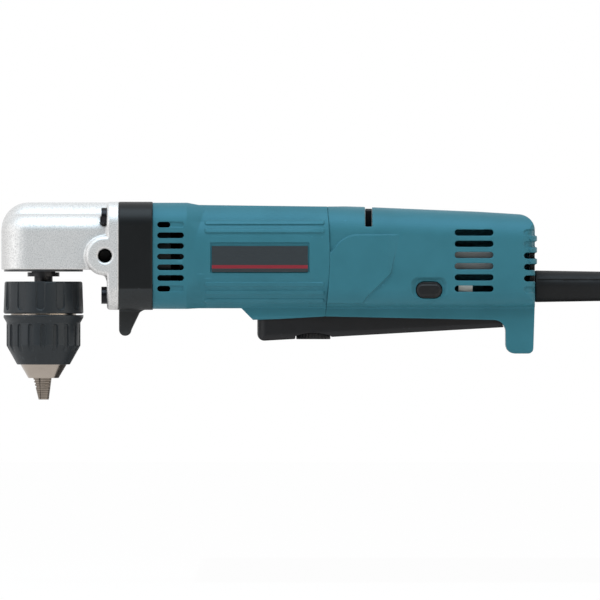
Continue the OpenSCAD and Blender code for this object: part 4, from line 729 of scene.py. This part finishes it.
@dataclass
class MotorBody(Assembly):
    """Collar, motor housing and nameplate, with the motor inside."""

    collar_skin: Skin = Skin(0.4, 3)
    # Below this height the collar takes the greyer nylon, as painted light.
    painted_light_z: float = 55.6 * MM
    housing_skin: Skin = Skin(0.25, 1, 0.22)
    axis_z: float = 71.8 * MM
    # The sides are drawn in by the share crown at crown_reach above and below the axis.
    crown: float = 0.1
    crown_reach: float = 17.0 * MM
    # The bow starts at ramp_x and is full at the crease, which leans back by crease_lean.
    ramp_x: float = 71.5 * MM
    crease_x: float = 73.2 * MM
    crease_lean: float = 0.315
    # It fades out over seam_fade before the seam with the handle.
    seam_x: float = 142.5 * MM
    seam_fade: float = 14.0 * MM
    # The two upper ribs, as heights above the axis, stand rib_lift prouder.
    rib_rows: tuple[float, float] = (16.7 * MM, 12.6 * MM)
    rib_ends: tuple[float, float] = (81.0 * MM, 140.3 * MM)
    rib_half: float = 1.0 * MM
    rib_lift: float = 0.3 * MM
    skin_y: float = 18.0 * MM
    baffle_rim: float = 0.1 * MM
    baffle_room: float = 0.75 * MM

    def build(self) -> None:
        """Make the mouldings and dress the motor."""
        collar = self.soften("gear_case_collar", Surface.COLLAR, self.collar_skin)
        # Painted light: the faces of the collar's lower facet take the greyer nylon.
        self.coat(collar, Surface.TEXTURED, lambda face: face.center.z < self.painted_light_z)
        self.soften("motor_housing", Surface.GRIP, self.housing_skin, self.bow)
        self.close_baffle()
        self.dress(Surface.PLATE, "nameplate")
        # Painted shade: the bearing plate takes the black nylon, so that it shows dark through the vents.
        self.dress(Surface.COLLAR, "bearing_plate", "fan")
        self.dress(Surface.RACE, "armature_front_bearing", "armature_rear_bearing")
        self.dress(Surface.DARK_STEEL, "armature_shaft")
        self.dress(Surface.SHEETS, "armature_core", "field_stack")
        self.dress(Surface.COPPER, "armature_windings", "field_coils", "commutator")
        self.dress(Surface.BRONZE, "brush_holders")
        self.dress(Surface.CARBON, "carbon_brushes")

    def bow(self, point: Vector) -> Vector:
        """Bow the sides of the grip outwards, behind a leaning crease at its front.

        Args:
            point: A point of the motor housing.
        Returns:
            Its place.
        """
        rise = abs(point.z - self.axis_z)
        crease = self.crease_x + self.crease_lean * rise
        behind = min(max((point.x - self.ramp_x) / (crease - self.ramp_x), 0.0), 1.0)
        ahead = min(max((self.seam_x - point.x) / self.seam_fade, 0.0), 1.0)
        eased = ahead * ahead * (3 - 2 * ahead)
        drop = self.crown * min((rise / self.crown_reach) ** 2, 1.0)
        y = point.y * (1.0 - drop * behind * eased)
        if self.rib_ends[0] < point.x < self.rib_ends[1] and abs(y) > self.skin_y:
            if any(abs(point.z - self.axis_z - row) < self.rib_half for row in self.rib_rows):
                y += math.copysign(self.rib_lift, y)
        return Vector((point.x, y, point.z))

    def close_baffle(self) -> None:
        """Bring the front of the fan baffle close behind the fan, so that no light passes between."""
        baffle = self.copy_of("fan_baffle", "fan_baffle_ring")
        front = min(corner.co.x for corner in baffle.data.vertices)
        for corner in baffle.data.vertices:
            if corner.co.x < front + self.baffle_rim:
                corner.co.x -= self.baffle_room
        self.keep(baffle, "fan_baffle", Surface.COLLAR)


@dataclass
class RearHandle(Assembly):
    """Handle shells with the controls, the cord guard and what lies inside."""

    shell_skin: Skin = Skin(0.3, 2)
    control_skin: Skin = Skin(0.25, 2)
    thin_skin: Skin = Skin(0.25, 1)
    # The three open slots round each rear corner, whose ends are painted black as painted shade.
    slot_x: float = 241.0 * MM
    slot_y: tuple[float, float] = (11.6 * MM, 22.0 * MM)
    slot_rows: tuple[float, ...] = (71.87 * MM, 66.18 * MM, 60.49 * MM)
    slot_half: float = 1.45 * MM
    # The reversing lever is spread within lever_half of its middle.
    lever_x: float = 162.5 * MM
    lever_half: float = 1.6 * MM
    lever_spread: float = 1.16
    # The guard swells behind guard_x, over a length of guard_fade.
    guard_z: float = 56.6 * MM
    guard_x: float = 245.6 * MM
    guard_fade: float = 0.5 * MM
    guard_spread: float = 0.07
    guard_core: float = 5.0 * MM
    # Its moulding line runs flash_rise above the guard's middle.
    flash_rise: float = 3.1 * MM
    flash_half: float = 0.4 * MM
    flash_depth: float = 0.35 * MM

    def build(self) -> None:
        """Make the shells and dress the controls."""
        for node in ("handle_left", "handle_right"):
            shell = self.soften(node, Surface.GRIP, self.shell_skin)
            # Painted shade: the faces at the ends of the rear slots take the black acetal.
            self.coat(shell, Surface.LEVER, self.in_shaded_slot_end)
        for node in ("paddle", "speed_dial", "lock_button"):
            self.soften(node, Surface.LEVER, self.control_skin)
        self.soften("reversing_lever", Surface.LEVER, self.thin_skin, self.fill_slot)
        self.soften("cord_guard", Surface.RUBBER, self.thin_skin, self.swell)
        self.dress(Surface.SCREW, "handle_screws")
        self.dress(Surface.LEVER, "switch_body", "cord_clamp")
        self.dress(Surface.CASE, "noise_suppressor")
        self.dress(Surface.PALE, "terminal_block")
        self.dress(Surface.STEEL, "paddle_pin")

    def in_shaded_slot_end(self, face: bpy.types.MeshPolygon) -> bool:
        """Tell whether a face is the end of one of the open slots round the rear corners, painted black as
        painted shade.

        Args:
            face: A face of a handle shell.
        Returns:
            Whether it closes such a slot.
        """
        x, y, z = face.center
        inside = x > self.slot_x and self.slot_y[0] < abs(y) < self.slot_y[1]
        return inside and any(abs(z - row) < self.slot_half for row in self.slot_rows)

    def fill_slot(self, point: Vector) -> Vector:
        """Thicken the reversing lever until it all but fills its slot.

        Args:
            point: A point of the lever.
        Returns:
            Its place.
        """
        away = point.x - self.lever_x
        spread = self.lever_spread if abs(away) < self.lever_half else 1.0
        return Vector((self.lever_x + away * spread, point.y, point.z))

    def swell(self, point: Vector) -> Vector:
        """Thicken the cord guard a little where it leaves the handle, and deepen its moulding line.

        Args:
            point: A point of the guard.
        Returns:
            Its place.
        """
        outside = min(max((point.x - self.guard_x) / self.guard_fade, 0.0), 1.0)
        spread = 1.0 + self.guard_spread * outside
        y, rise = point.y * spread, (point.z - self.guard_z) * spread
        on_skin = math.hypot(y, rise) > self.guard_core
        if outside and on_skin and abs(rise - self.flash_rise) < self.flash_half:
            y -= math.copysign(self.flash_depth, y)
        return Vector((point.x, y, self.guard_z + rise))


def main() -> None:
    """Load the frame, set up the picture and build the drill."""
    logging.basicConfig(level=logging.INFO, format="%(name)s: %(message)s")
    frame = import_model()
    Studio().build()
    for assembly in (AngleHead, KeylessChuck, MotorBody, RearHandle):
        assembly(frame).build()


if __name__ == "__main__":
    main()
